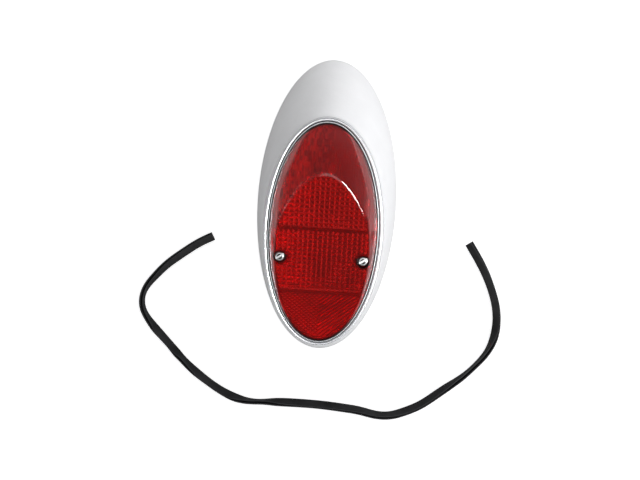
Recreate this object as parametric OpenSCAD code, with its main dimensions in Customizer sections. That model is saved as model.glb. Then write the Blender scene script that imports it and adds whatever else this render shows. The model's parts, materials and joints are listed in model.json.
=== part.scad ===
// Oval rear lamp for a classic small car: a painted steel pod with a tilted mouth, a plated trim
// ring, a red moulded lens held by two screws, a bulb holder with two bayonet sockets behind it,
// and the rubber strip that seals the pod's rim, which lies loose round the foot of the lamp.
//
// The lamp lies on its back: the rim is at z = 0 with the oval's centre at the origin, +Y is up the
// lamp and +Z leaves the rim towards the lens. Everything in the mouth is drawn in the mouth's own
// frame and placed by in_mouth(): u across, v up the lamp and w out of the lens.

/* [Pod] */
// Length of the oval rim
rim_length = 240; // [220:1:290]
// Width of the oval rim
rim_width = 115; // [110:1:140]
// Thickness of the pressed steel
sheet = 1.2; // [0.8:0.1:1.6]
// Width of the flat flange that the rim turns in to
rim_flange = 6; // [4:0.5:8]
// Place of the mouth's centre up the lamp
mouth_y = -27; // [-32:1:-20]
// Height of the mouth's centre above the rim
mouth_z = 60; // [58:1:74]
// Tilt of the mouth: its upper end stands further out
mouth_tilt = 15; // [8:1:18]
// How full the sides are, from 0 for straight
fullness = 0.35; // [0:0.05:0.6]
// How far the flat front edge of the pod reaches outside the lens
mouth_margin = 6.5; // [6:0.5:9]
// How far the front lip turns in under the lens
lip_reach = 9; // [8.5:0.5:10]
// Thickness of the front lip
lip = 1.0; // [0.8:0.1:1.4]

/* [Lens] */
// Length of the lens
lens_length = 176; // [150:1:180]
// Width of the lens
lens_width = 85; // [80:1:92]
// Wall thickness of the lens
lens_wall = 2.5; // [2:0.1:3]
// Height of the upright edge
lens_edge = 1.2; // [0.8:0.1:2]
// Slope of the side wall from upright
lens_draft = 27; // [15:1:32]
// Height of the flat face at the middle
face_height = 12; // [10:0.5:16]
// Rise of the flat face for each millimetre up the lamp
face_rise = 0.14; // [0.05:0.01:0.18]
// Place of the arch's highest point
arch_top = 52.5; // [46:0.5:56]
// How fast the crown falls above the arch
crown_fall = 0.2; // [0.1:0.01:0.3]
// How far the crown bends down towards its upper end
crown_bow = 0.0115; // [0.005:0.0005:0.015]
// How round the crown is from side to side
crown_round = 0.0108; // [0.006:0.0002:0.014]
// Thickness of the two ribs inside the lens
rib = 2.4; // [1.6:0.2:3]
// Place of the rib between the two lamps
upper_rib = 6; // [2:1:10]
// Place of the rib above the reflex part
lower_rib = -47; // [-50:1:-44]

/* [Trim ring and gasket] */
// Thickness of the ring's flat flange
ring_sheet = 0.8; // [0.6:0.1:1]
// Width of the ring's bead
bead = 3.6; // [3:0.1:4]
// Height of the bead above the flange's underside
bead_height = 2.9; // [2:0.1:3.5]
// Thickness of the gasket
gasket = 1.6; // [1:0.1:2.4]

/* [Lens screws] */
// Thread diameter
screw_d = 3.9; // [3.9:0.1:5]
// Distance of each screw from the middle line
screw_u = 33; // [31:0.5:34]
// Place of the screws up the lamp
screw_v = -19; // [-24:1:-14]
// Head diameter
head_d = 7.4; // [6.4:0.1:9]
// Head height
head_h = 2.6; // [2:0.1:3]
// Height of the recess's floor above the lens's foot
recess_floor = 4; // [3:0.5:5]
// Room left round each washer in its recess
recess_room = 0.8; // [0.6:0.1:1.2]
// Direction of the slot at rest
slot_angle = 34; // [0:1:180]

/* [Bulbs and sockets] */
// Place of the upper bulb up the lamp
upper_bulb_v = 32; // [28:1:36]
// Place of the lower bulb up the lamp
lower_bulb_v = -20; // [-24:1:-16]
// Diameter of the glass
glass_d = 25; // [22:0.5:26.5]
// Length of the bulb
bulb_length = 47; // [44:0.5:48]
// Height of the glass's top above the lens's foot
glass_top = 5; // [4:0.5:6]
// Diameter of the bulb's cap
cap_d = 15; // [15:0.1:18]
// Turn that frees the bulb's pins
bayonet_turn = 22; // [18:1:26]
// Push that frees the bulb's pins
bayonet_push = 2.5; // [2:0.1:2.5]

/* [Fixings] */
// Place of the upper fixing nut
upper_fixing_y = 88; // [80:1:94]
// Place of the lower fixing nut
lower_fixing_y = -100; // [-102:1:-92]
// Bore of the fixing nuts' thread
fixing_bore = 5; // [5:0.1:5.2]

/* [Seal strip] */
// Width of the loose rubber strip
strip_width = 6.6; // [5:0.1:8]
// Height of the loose rubber strip
strip_height = 4; // [3:0.1:5]

/* [Hidden] */
$fn = 48;
SIDES = 64;            // steps round each oval
WALL_STEPS = 7;        // steps up the pod's side
PAST = 1;              // how far a cut runs past the face it opens
GAP = 0.25;            // clearance between pieces that lift apart
CLEAR = 0.1;           // clearance round a rivet
SEAT = 0.05;           // room under a piece that sits on another

rim_a = rim_width / 2;
rim_b = rim_length / 2;
lens_a = lens_width / 2;
lens_b = lens_length / 2;

// Heights in the mouth's frame, from the lens's foot down.
ring_top = -gasket;
lip_top = ring_top - ring_sheet;
lip_under = lip_top - lip;
tray_sheet = 1;
tray_under = lip_under - tray_sheet;
tray_floor = -20;
floor_under = tray_floor - tray_sheet;
edge_round = 2;        // radius of the pod's front edge

// Bulb heights, from the end contact up.
contact_w = glass_top - bulb_length;
cap_r = cap_d / 2;
cap_foot = contact_w + 1;
cap_top = contact_w + 17;
cap_wall = 0.5;
glass_r = glass_d / 2;
glass_wall = 0.7;
neck_r = cap_r - cap_wall;
neck_top = tray_floor + 1;    // the glass swells only above the tray's floor
bulb_pin_r = 1;
bulb_pin_reach = cap_r + 1.2;
pin_up = 8.5;          // the pins' height above the end contact
pin_offset = 3;        // how much higher the second pin of a two-filament bulb is
pip_h = 0.8;
pip_r = 1.7;
two_pips = 2.9;        // distance of each of two contacts from the axis
disc_h = 2.6;
disc_top = contact_w - pip_h;
disc_under = disc_top - disc_h;

// Sockets
socket_bore = cap_r + GAP;
socket_wall = 0.6;
socket_r = socket_bore + socket_wall;
socket_flange_r = socket_r + 2.4;
spring_room = 4.2;
socket_floor = disc_under - spring_room;
slot_gap = 0.35;
slot_half_angle = asin((bulb_pin_r + slot_gap) / socket_bore);
spring_wire = 0.9;
spring_r = socket_bore - 2.6;
spring_turns = 2.5;

// Screws, nuts and rivets
screw_r = screw_d / 2;
screw_tip = tray_under - 5.2;
washer_h = 0.8;
washer_r = head_d / 2 + 0.5;
recess_r = washer_r + recess_room;
nut_h = 3.2;
nut_flats = screw_d + 3.1;
rivet_r = 1.5;
rivet_head_r = 2.6;
rivet_head_h = 1.1;
rivet_turns = [32, 148, 212, 328];
small_rivet_r = 1.4;

// Bulb holder
bowl_a = lens_a - 16;
bowl_b = lens_b - 16;
floor_a = bowl_a - 4;
floor_b = bowl_b - 4;
board = [38, 12, 1.6];
board_v = -1;
board_rivet_u = 15.5;
blade = [6.3, 0.8, 13];
blade_pitch = 8.6;
earth_v = -56;
divider = 1;
divider_top = 0.4;

// Fixing bars and nuts
bar_wide = 16;
bar_clear = 4.5;
bar_sheet = 1.5;
bar_edge = 4.5;
fixing_flats = 10;
fixing_nut_h = 5;
fixing_hole_r = fixing_bore / 2 + 0.8;

// Middle line of the loose strip on the surface, from its left end round to its right end.
strip_route = [
    [-92, -33], [-103, -39], [-113, -46], [-122, -53], [-130, -60], [-138, -69], [-144, -77],
    [-147.5, -87], [-146, -97], [-141, -105], [-134, -113], [-125, -122], [-115, -132],
    [-104, -142], [-92, -151], [-79, -159], [-66, -164.5], [-52, -167], [-38, -166.5],
    [-22, -166], [-6, -166], [10, -166.5], [24, -167.5], [38, -169], [52, -171.5], [63, -171],
    [75, -167], [87, -161], [98, -153], [109, -144.5], [120, -136], [131, -125], [139, -114.5],
    [144, -102], [145.5, -89], [144, -76], [139.5, -62], [134, -50], [127, -38], [119, -26]
];

// ---------- shared shapes ----------

// A point on an oval of half-width a and half-length b at angle t, moved out square to the oval.
function oval_point(a, b, out, t) =
    let (square = [sin(t) / a, cos(t) / b])
    [a * sin(t), b * cos(t)] + out * square / norm(square);

// One ring of points round an oval at height w.
function oval_ring(a, b, out, w) =
    [for (i = [0:SIDES - 1]) let (p = oval_point(a, b, out, 360 * i / SIDES)) [p.x, p.y, w]];

// A point of the mouth's frame in the lamp's frame.
function from_mouth(p) = [
    p.x,
    mouth_y + p.y * cos(mouth_tilt) - p.z * sin(mouth_tilt),
    mouth_z + p.y * sin(mouth_tilt) + p.z * cos(mouth_tilt)
];

// Half the rim's width at a place up the lamp.
function rim_half_width(y) = rim_a * sqrt(1 - pow(y / rim_b, 2));

// Skins rings of equal length; closed joins the last ring to the first instead of capping both.
module loft(rings, closed = false) {
    n = len(rings[0]);
    bands = closed ? len(rings) : len(rings) - 1;
    skin = [
        for (i = [0:bands - 1], j = [0:n - 1])
            let (
                low = i * n,
                high = ((i + 1) % len(rings)) * n,
                next = (j + 1) % n
            )
            each [[low + j, low + next, high + next], [low + j, high + next, high + j]]
    ];
    last = (len(rings) - 1) * n;
    caps = closed ? [] : [[for (j = [n - 1:-1:0]) j], [for (j = [0:n - 1]) last + j]];
    polyhedron(points = [for (r = rings) each r], faces = concat(skin, caps), convexity = 8);
}

module in_mouth() {
    translate([0, mouth_y, mouth_z])
        rotate([mouth_tilt, 0, 0])
            children();
}

module at_bulb(v) {
    in_mouth()
        translate([0, v, 0])
            children();
}

module at_screw(side) {
    in_mouth()
        translate([side * screw_u, screw_v, 0])
            children();
}

module disc_between(r, low, high) {
    translate([0, 0, low])
        cylinder(r = r, h = high - low);
}

module pipe_between(outer, inner, low, high) {
    difference() {
        disc_between(outer, low, high);
        disc_between(inner, low - PAST, high + PAST);
    }
}

module hex_between(flats, low, high) {
    translate([0, 0, low])
        cylinder(d = flats / cos(30), h = high - low, $fn = 6);
}

// A round-headed rivet through a stack from low to high.
module rivet(r, head_r, head_h, low, high) {
    rotate_extrude()
        polygon([
            [0, low - head_h], [head_r - 0.5, low - head_h], [head_r, low - head_h / 2],
            [head_r, low], [r, low], [r, high], [head_r, high], [head_r, high + head_h / 2],
            [head_r * 0.6, high + head_h], [0, high + head_h]
        ]);
}

// ---------- pod ----------

// A point of the pod's side: s runs from the rim to the mouth, wall is the depth under the skin.
function side_point(s, wall, t) =
    let (
        foot = oval_point(rim_a, rim_b, -wall, t),
        edge = oval_point(lens_a, lens_b, mouth_margin - wall, t),
        top = from_mouth([edge.x, edge.y, lip_top - edge_round]),
        across = (1 - fullness) * s + fullness * (1 - cos(90 * s)),
        up = (1 - fullness) * s + fullness * sin(90 * s)
    )
    [
        foot.x + (top.x - foot.x) * across,
        foot.y + (top.y - foot.y) * across,
        wall + (top.z - wall) * up
    ];

function side_ring(s, wall) = [for (i = [0:SIDES - 1]) side_point(s, wall, 360 * i / SIDES)];

function mouth_ring(out, w) =
    [for (p = oval_ring(lens_a, lens_b, out, w)) from_mouth(p)];

function rim_ring(out, z) = oval_ring(rim_a, rim_b, out, z);

module housing_shell() {
    outside = [for (i = [0:WALL_STEPS]) side_ring(i / WALL_STEPS, 0)];
    front = [
        mouth_ring(mouth_margin - 0.3 * edge_round, lip_top - 0.3 * edge_round),
        mouth_ring(mouth_margin - edge_round + 0.6, lip_top),
        mouth_ring(-lip_reach, lip_top),
        mouth_ring(-lip_reach, lip_under),
        mouth_ring(mouth_margin - edge_round + 0.4, lip_under)
    ];
    inside = [for (i = [WALL_STEPS:-1:0]) side_ring(i / WALL_STEPS, sheet)];
    flange = [rim_ring(-rim_flange, sheet), rim_ring(-rim_flange, 0)];
    color("gainsboro")
        difference() {
            loft(concat(outside, front, inside, flange), closed = true);
            for (side = [-1, 1])
                at_screw(side)
                    disc_between(nut_flats / 2 + 2, lip_under - PAST, lip_top + PAST);
            in_mouth()
                at_tray_rivets()
                    disc_between(rivet_r + CLEAR, lip_under - PAST, lip_top + PAST);
        }
}

// A channel across the back of the pod, welded down on the rim's flange.
module fixing_bar(y) {
    low = rim_half_width(y - bar_wide / 2) - bar_clear;
    high = rim_half_width(y + bar_wide / 2) - bar_clear;
    edge_half = min(low, high) - 3;
    color("darkgray")
        difference() {
            union() {
                translate([0, 0, sheet])
                    linear_extrude(bar_sheet)
                        polygon([
                            [-low, y - bar_wide / 2], [low, y - bar_wide / 2],
                            [high, y + bar_wide / 2], [-high, y + bar_wide / 2]
                        ]);
                for (end = [y - bar_wide / 2, y + bar_wide / 2 - bar_sheet])
                    translate([-edge_half, end, sheet])
                        cube([2 * edge_half, bar_sheet, bar_edge]);
            }
            translate([0, y, 0])
                disc_between(fixing_hole_r, sheet - PAST, sheet + bar_sheet + PAST);
        }
}

module upper_fixing_bar() {
    fixing_bar(upper_fixing_y);
}

module lower_fixing_bar() {
    fixing_bar(lower_fixing_y);
}

module fixing_nuts() {
    low = sheet + bar_sheet;
    color("silver")
        for (y = [upper_fixing_y, lower_fixing_y])
            translate([0, y, 0])
                difference() {
                    hex_between(fixing_flats, low, low + fixing_nut_h);
                    disc_between(fixing_bore / 2, low - PAST, low + fixing_nut_h + PAST);
                }
}

// ---------- bulb holder ----------

module at_tray_rivets() {
    for (t = rivet_turns) {
        p = oval_point(lens_a, lens_b, -lip_reach + rivet_head_r + 0.4, t);
        translate([p.x, p.y, 0])
            children();
    }
}

module at_small_rivets() {
    for (p = [[-board_rivet_u, board_v], [board_rivet_u, board_v], [-3, earth_v]])
        translate([p.x, p.y, 0])
            children();
}

module bulb_holder_tray() {
    rings = [
        oval_ring(floor_a, floor_b, 0, floor_under),
        oval_ring(bowl_a, bowl_b, 0, tray_under),
        oval_ring(lens_a, lens_b, -3, tray_under),
        oval_ring(lens_a, lens_b, -3, lip_under),
        oval_ring(bowl_a, bowl_b, -tray_sheet, lip_under),
        oval_ring(floor_a, floor_b, -tray_sheet, tray_floor)
    ];
    color("silver")
        in_mouth()
            difference() {
                loft(rings);
                for (v = [upper_bulb_v, lower_bulb_v])
                    translate([0, v, 0])
                        disc_between(socket_bore + 0.6, floor_under - PAST, tray_floor + PAST);
                for (side = [-1, 1])
                    translate([side * screw_u, screw_v, 0])
                        disc_between(screw_r + 0.45, tray_under - PAST, lip_under + PAST);
                at_tray_rivets()
                    disc_between(rivet_r + CLEAR, tray_under - PAST, lip_under + PAST);
                at_small_rivets()
                    disc_between(small_rivet_r + CLEAR, floor_under - PAST, tray_floor + PAST);
            }
}

module tray_rivets() {
    color("silver")
        in_mouth()
            at_tray_rivets()
                rivet(rivet_r, rivet_head_r, rivet_head_h, tray_under, lip_top);
}

// Half the width of the bowl's inside at a place up the lamp, for an oval a by b.
function bowl_half(a, b, v) = (a - tray_sheet) * sqrt(1 - pow(v / (b - tray_sheet), 2));

// A plate across the bowl with a foot on its floor and wings over its flange.
module bowl_divider(v, wing) {
    foot_half = bowl_half(floor_a, floor_b, abs(v) + 7) - GAP;
    low_half = bowl_half(floor_a, floor_b, v) - 0.6;
    top_half = bowl_half(bowl_a, bowl_b, v) - 0.6;
    wing_low = lip_under + 0.2;
    color("silver")
        in_mouth() {
            translate([0, v + divider / 2, 0])
                rotate([90, 0, 0])
                    linear_extrude(divider)
                        polygon([
                            [-low_half, tray_floor], [low_half, tray_floor],
                            [top_half, wing_low], [wing, wing_low], [wing, divider_top],
                            [-wing, divider_top], [-wing, wing_low], [-top_half, wing_low]
                        ]);
            translate([-foot_half * 0.8, v, tray_floor])
                cube([foot_half * 1.6, 6, 0.8]);
        }
}

module upper_divider() {
    bowl_divider(upper_rib, lens_a - lip_reach - 2);
}

module lower_divider() {
    bowl_divider(lower_rib, bowl_half(lens_a - lip_reach, lens_b - lip_reach, lower_rib) - 1.5);
}

module lens_nuts() {
    color("silver")
        for (side = [-1, 1])
            at_screw(side)
                difference() {
                    hex_between(nut_flats, tray_under - nut_h, tray_under);
                    disc_between(screw_r + 0.05, tray_under - nut_h - PAST, tray_under + PAST);
                }
}

// The pocket that a bulb's pin moves in, cut through one side of the socket.
module pin_slot(pin_w) {
    low = pin_w - bulb_pin_r - bayonet_push - slot_gap;
    high = pin_w + bulb_pin_r + slot_gap;
    rotate([0, 0, -slot_half_angle])
        rotate_extrude(angle = bayonet_turn + slot_half_angle)
            translate([socket_bore - 0.5, low])
                square([socket_wall + 1.5, high - low]);
    // the way in from the rim is cut a little deeper than the passage
    rotate([0, 0, bayonet_turn])
        translate([socket_bore - 0.5, -bulb_pin_r - slot_gap, low - slot_gap])
            cube([socket_flange_r, 2 * (bulb_pin_r + slot_gap), floor_under - low + slot_gap + PAST]);
}

module socket(v, second_pin) {
    at_bulb(v)
        color("darkkhaki")
            difference() {
                rotate_extrude()
                    polygon([
                        [socket_bore, floor_under], [socket_flange_r, floor_under],
                        [socket_flange_r, floor_under - 1], [socket_r, floor_under - 1],
                        [socket_r, socket_floor - socket_wall],
                        [spring_r - 1.4, socket_floor - socket_wall],
                        [spring_r - 1.4, socket_floor], [socket_bore, socket_floor]
                    ]);
                pin_slot(contact_w + pin_up);
                rotate([0, 0, 180])
                    pin_slot(contact_w + pin_up + second_pin);
            }
}

module upper_socket() {
    socket(upper_bulb_v, 0);
}

module lower_socket() {
    socket(lower_bulb_v, pin_offset);
}

// A round wire wound into an open coil.
module socket_spring(v) {
    steps = 40;
    round_steps = 6;
    low = socket_floor + spring_wire / 2;
    high = disc_under - spring_wire / 2;
    rings = [
        for (i = [0:steps])
            let (turn = 360 * spring_turns * i / steps, w = low + (high - low) * i / steps)
            [
                for (j = [0:round_steps - 1])
                    let (
                        around = 360 * j / round_steps,
                        r = spring_r + spring_wire / 2 * cos(around)
                    )
                    [r * cos(turn), r * sin(turn), w + spring_wire / 2 * sin(around)]
            ]
    ];
    at_bulb(v)
        color("gray")
            loft(rings);
}

module upper_socket_spring() {
    socket_spring(upper_bulb_v);
}

module lower_socket_spring() {
    socket_spring(lower_bulb_v);
}

module at_blades() {
    for (k = [-1, 0, 1])
        translate([k * blade_pitch, board_v, 0])
            children();
}

module one_blade(high, length) {
    translate([-blade.x / 2, -blade.y / 2, high - length])
        cube([blade.x, blade.y, length]);
}

module terminal_board() {
    color("saddlebrown")
        in_mouth()
            difference() {
                translate([-board.x / 2, board_v - board.y / 2, floor_under - board.z])
                    cube(board);
                at_blades()
                    one_blade(floor_under - 0.3, board.z + PAST);
                at_small_rivets()
                    disc_between(small_rivet_r + CLEAR, floor_under - board.z - PAST,
                        floor_under + PAST);
            }
}

module terminal_blades() {
    color("gold")
        in_mouth()
            at_blades()
                one_blade(floor_under - 0.3, board.z + blade.z);
}

module earth_blade() {
    color("gold")
        in_mouth()
            difference() {
                union() {
                    translate([-7, earth_v - 4, floor_under - blade.y])
                        cube([12, 8, blade.y]);
                    translate([4.6, earth_v, floor_under])
                        rotate([0, 0, 90])
                            one_blade(0, blade.z - 4);
                }
                at_small_rivets()
                    disc_between(small_rivet_r + CLEAR, floor_under - blade.y - PAST,
                        floor_under + PAST);
            }
}

module small_rivets() {
    color("silver")
        in_mouth() {
            for (side = [-1, 1])
                translate([side * board_rivet_u, board_v, 0])
                    rivet(small_rivet_r, 2.3, 0.8, floor_under - board.z, tray_floor);
            translate([-3, earth_v, 0])
                rivet(small_rivet_r, 2.3, 0.8, floor_under - blade.y, tray_floor);
        }
}

// ---------- trim ring, gasket and lens ----------

// Closes a section, given as [out, w] pairs, round the lens's oval.
module round_lens(section) {
    in_mouth()
        loft([for (p = section) oval_ring(lens_a, lens_b, p.x, p.y)], closed = true);
}

module trim_ring() {
    inner = 1.3;
    middle = inner + bead / 2;
    half = bead / 2;
    wall = ring_sheet;
    foot = lip_top + SEAT;
    arch = [for (t = [0:30:180]) [middle + half * cos(t), sin(t)]];
    rise = bead_height - 1;
    section = concat(
        [[middle + half, foot]],
        [for (p = arch) [p.x, lip_top + 1 + rise * p.y]],
        [
            [inner, ring_top], [-3, ring_top], [-3, foot], [middle - half + wall, foot],
            [middle, lip_top + bead_height - wall], [middle + half - wall, foot]
        ]
    );
    color("white")
        round_lens(section);
}

module lens_gasket() {
    lip_out = 1.15;
    lip_high = 1;
    color("black")
        round_lens([
            [lip_out, ring_top], [lip_out, lip_high], [lip_out - 0.3, lip_high + 0.25],
            [GAP + 0.25, lip_high + 0.25], [GAP, lip_high], [GAP, 0], [-3.2, 0], [-3.2, ring_top]
        ]);
}

function face_at(v) = face_height + face_rise * v;

function crown_at(u, v) =
    face_at(arch_top) - crown_fall * (v - arch_top)
    - crown_bow * pow(max(0, v - arch_top), 2) - crown_round * u * u;

// The drafted block inside the lens's side wall, wall deep under the outer skin.
module lens_sides(wall, foot, high) {
    loft([
        oval_ring(lens_a, lens_b, -wall, foot),
        oval_ring(lens_a, lens_b, -wall, lens_edge),
        oval_ring(lens_a, lens_b, -wall - (high - lens_edge) * tan(lens_draft), high)
    ]);
}

// Everything under the crown, as a block with a curved top.
module under_crown(wall, foot, least) {
    reach = lens_a + 5;
    across = [for (i = [9:-1:-9]) i * reach / 9];
    along = concat([-lens_b - 10, 0], [for (i = [0:15]) 20 + i * (lens_b - 12) / 15]);
    rows = [
        for (v = along)
            concat(
                [[-reach, v, foot], [reach, v, foot]],
                [for (u = across) [u, v, max(crown_at(u, v) - wall, least)]]
            )
    ];
    loft(rows);
}

module under_face(wall, foot) {
    rotate([90, 0, 90])
        translate([0, 0, -lens_a - 10])
            linear_extrude(2 * lens_a + 20)
                polygon([
                    [-lens_b - 10, foot],
                    [lens_b + 10, foot],
                    [lens_b + 10, face_at(lens_b + 10) - wall],
                    [-lens_b - 10, max(face_at(-lens_b - 10) - wall, foot + 0.1)]
                ]);
}

// The lens as a solid block, wall deep under its outer skin.
module lens_block(wall, foot, least) {
    intersection() {
        lens_sides(wall, foot, 24);
        under_crown(wall, foot, least);
        under_face(wall, foot);
    }
}

module lens() {
    color([0.75, 0.05, 0.04, 0.75])
        in_mouth()
            difference() {
                union() {
                    lens_block(0, 0, lens_edge);
                    lens_sides_edge();
                }
                difference() {
                    lens_block(lens_wall, -PAST, -0.9 * PAST);
                    for (v = [upper_rib, lower_rib])
                        translate([-lens_a, v - rib / 2, divider_top + 0.6])
                            cube([2 * lens_a, rib, 30]);
                    for (side = [-1, 1])
                        translate([side * screw_u, screw_v, 0])
                            disc_between(recess_r + 1.5, 0, 30);
                }
                for (side = [-1, 1])
                    translate([side * screw_u, screw_v, 0]) {
                        disc_between(recess_r, recess_floor, 30);
                        disc_between(screw_r + 0.3, -PAST, recess_floor + PAST);
                    }
            }
}

// The low upright edge that closes the lens's lower end, where the face meets its foot.
module lens_sides_edge() {
    loft([
        oval_ring(lens_a, lens_b, 0, 0),
        oval_ring(lens_a, lens_b, 0, lens_edge)
    ]);
}

// ---------- lens screws ----------

module lens_washer(side) {
    color("dimgray")
        at_screw(side)
            pipe_between(washer_r, screw_r + CLEAR, recess_floor, recess_floor + washer_h);
}

module left_washer() {
    lens_washer(-1);
}

module right_washer() {
    lens_washer(1);
}

module lens_screw(side) {
    seat = recess_floor + washer_h;
    head_r = head_d / 2;
    color("white")
        at_screw(side)
            difference() {
                rotate_extrude()
                    polygon([
                        [0, screw_tip], [screw_r - 0.6, screw_tip], [screw_r, screw_tip + 0.6],
                        [screw_r, seat], [head_r, seat], [head_r, seat + head_h - 0.8],
                        [head_r - 0.7, seat + head_h - 0.1], [0, seat + head_h]
                    ]);
                rotate([0, 0, slot_angle])
                    translate([-head_r - PAST, -0.5, seat + head_h - 1.2])
                        cube([head_d + 2 * PAST, 1, 1.2 + PAST]);
            }
}

module left_lens_screw() {
    lens_screw(-1);
}

module right_lens_screw() {
    lens_screw(1);
}

// ---------- bulbs and their contacts ----------

module contact_disc(v) {
    color("saddlebrown")
        at_bulb(v)
            disc_between(socket_bore - 0.35, disc_under, disc_top);
}

module upper_contact_disc() {
    contact_disc(upper_bulb_v);
}

module lower_contact_disc() {
    contact_disc(lower_bulb_v);
}

module upper_contact_pip() {
    color("gold")
        at_bulb(upper_bulb_v)
            disc_between(pip_r, disc_top, contact_w);
}

module lower_contact_pips() {
    color("gold")
        at_bulb(lower_bulb_v)
            for (side = [-1, 1])
                translate([0, side * two_pips, 0])
                    disc_between(pip_r, disc_top, contact_w);
}

// Radius of the glass at height w, from its neck to the middle of its round end.
function glass_radius(w) =
    let (
        low = neck_top,
        high = glass_top - glass_r,
        s = min(1, max(0, (w - low) / (high - low)))
    )
    neck_r + (glass_r - neck_r) * (1 - cos(180 * s)) / 2;

module bulb_glass(v) {
    low = contact_w + 4.5;
    middle = glass_top - glass_r;
    steps = 10;
    neck = [for (i = [0:steps]) neck_top + (middle - neck_top) * i / steps];
    round_end = [for (t = [9:9:81]) t];
    outer = concat(
        [[0, low], [neck_r, low]],
        [for (w = neck) [glass_radius(w), w]],
        [for (t = round_end) [glass_r * cos(t), middle + glass_r * sin(t)]],
        [[0, glass_top]]
    );
    inner_r = glass_r - glass_wall;
    inner = concat(
        [[0, low + 1], [neck_r - glass_wall, low + 1]],
        [for (w = neck) [glass_radius(w) - glass_wall, w]],
        [for (t = round_end) [inner_r * cos(t), middle + inner_r * sin(t)]],
        [[0, glass_top - glass_wall]]
    );
    color([0.9, 0.95, 1, 0.5])
        at_bulb(v)
            difference() {
                rotate_extrude()
                    polygon(outer);
                rotate_extrude()
                    polygon(inner);
            }
}

module upper_bulb_glass() {
    bulb_glass(upper_bulb_v);
}

module lower_bulb_glass() {
    bulb_glass(lower_bulb_v);
}

module bulb_cap(v, second_pin) {
    color("khaki")
        at_bulb(v) {
            rotate_extrude()
                polygon([
                    [cap_r - cap_wall, cap_top], [cap_r, cap_top], [cap_r, cap_foot + 1.6],
                    [cap_r - 2.4, cap_foot], [cap_r - 2.9, cap_foot],
                    [cap_r - cap_wall, cap_foot + 1.6]
                ]);
            for (pin = [[0, 0], [180, second_pin]])
                rotate([0, 0, pin.x])
                    translate([cap_r - cap_wall / 2, 0, contact_w + pin_up + pin.y])
                        rotate([0, 90, 0])
                            cylinder(r = bulb_pin_r, h = bulb_pin_reach - cap_r + cap_wall / 2);
        }
}

module upper_bulb_cap() {
    bulb_cap(upper_bulb_v, 0);
}

module lower_bulb_cap() {
    bulb_cap(lower_bulb_v, pin_offset);
}

module bulb_insulator(v) {
    color("black")
        at_bulb(v)
            rotate_extrude()
                polygon([
                    [0, contact_w + pip_h], [cap_r - 2.9, contact_w + pip_h],
                    [cap_r - 2.9, cap_foot], [cap_r - cap_wall, cap_foot + 1.6],
                    [0, cap_foot + 1.6]
                ]);
}

module upper_bulb_insulator() {
    bulb_insulator(upper_bulb_v);
}

module lower_bulb_insulator() {
    bulb_insulator(lower_bulb_v);
}

module upper_bulb_contact() {
    color("gray")
        at_bulb(upper_bulb_v)
            disc_between(pip_r, contact_w, contact_w + pip_h);
}

module lower_bulb_contacts() {
    color("gray")
        at_bulb(lower_bulb_v)
            for (side = [-1, 1])
                translate([0, side * (two_pips - 0.3), 0])
                    disc_between(pip_r - 0.2, contact_w, contact_w + pip_h);
}

// Two support wires with the filament across their tops.
module filament(height, half_span, turn) {
    wire_r = 0.35;
    low = contact_w + 5.5;
    rotate([0, 0, turn]) {
        for (side = [-1, 1])
            translate([side * half_span, 0, 0])
                disc_between(wire_r, low, height);
        translate([-half_span - 0.5, 0, height])
            rotate([0, 90, 0])
                cylinder(r = 0.55, h = 2 * half_span + 1);
    }
}

module upper_bulb_filament() {
    color("dimgray")
        at_bulb(upper_bulb_v)
            filament(contact_w + 31.8, 3.2, 0);
}

module lower_bulb_filaments() {
    color("dimgray")
        at_bulb(lower_bulb_v) {
            filament(contact_w + 31.8, 3.2, 0);
            filament(contact_w + 28, 2.6, 90);
        }
}

// ---------- loose seal strip ----------

// Direction of a route at point i, along the chord between its neighbours.
function route_heading(route, i) =
    let (
        d = route[min(i + 1, len(route) - 1)] - route[max(i - 1, 0)]
    )
    d / norm(d);

module seal_strip() {
    half = strip_width / 2;
    corner = 1;
    section = [
        [half, corner], [half, strip_height - corner], [half - corner, strip_height],
        [corner - half, strip_height], [-half, strip_height - corner], [-half, corner],
        [corner - half, 0], [half - corner, 0]
    ];
    rings = [
        for (i = [0:len(strip_route) - 1])
            let (
                along = route_heading(strip_route, i),
                side = [along.y, -along.x]
            )
            [
                for (p = section)
                    [
                        strip_route[i].x + side.x * p.x,
                        strip_route[i].y + side.y * p.x,
                        p.y
                    ]
            ]
    ];
    color("black")
        loft(rings);
}

housing_shell();
upper_fixing_bar();
lower_fixing_bar();
fixing_nuts();
bulb_holder_tray();
tray_rivets();
upper_divider();
lower_divider();
lens_nuts();
upper_socket();
lower_socket();
upper_socket_spring();
lower_socket_spring();
terminal_board();
terminal_blades();
earth_blade();
small_rivets();
seal_strip();
trim_ring();
lens_gasket();
lens();
left_washer();
right_washer();
left_lens_screw();
right_lens_screw();
upper_contact_disc();
upper_contact_pip();
lower_contact_disc();
lower_contact_pips();
upper_bulb_glass();
upper_bulb_cap();
upper_bulb_insulator();
upper_bulb_contact();
upper_bulb_filament();
lower_bulb_glass();
lower_bulb_cap();
lower_bulb_insulator();
lower_bulb_contacts();
lower_bulb_filaments();
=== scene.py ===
import json
import math

import bmesh
import bpy
import numpy as np
from bpy.props import FloatProperty, FloatVectorProperty, PointerProperty
from mathutils import Matrix, Vector


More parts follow.
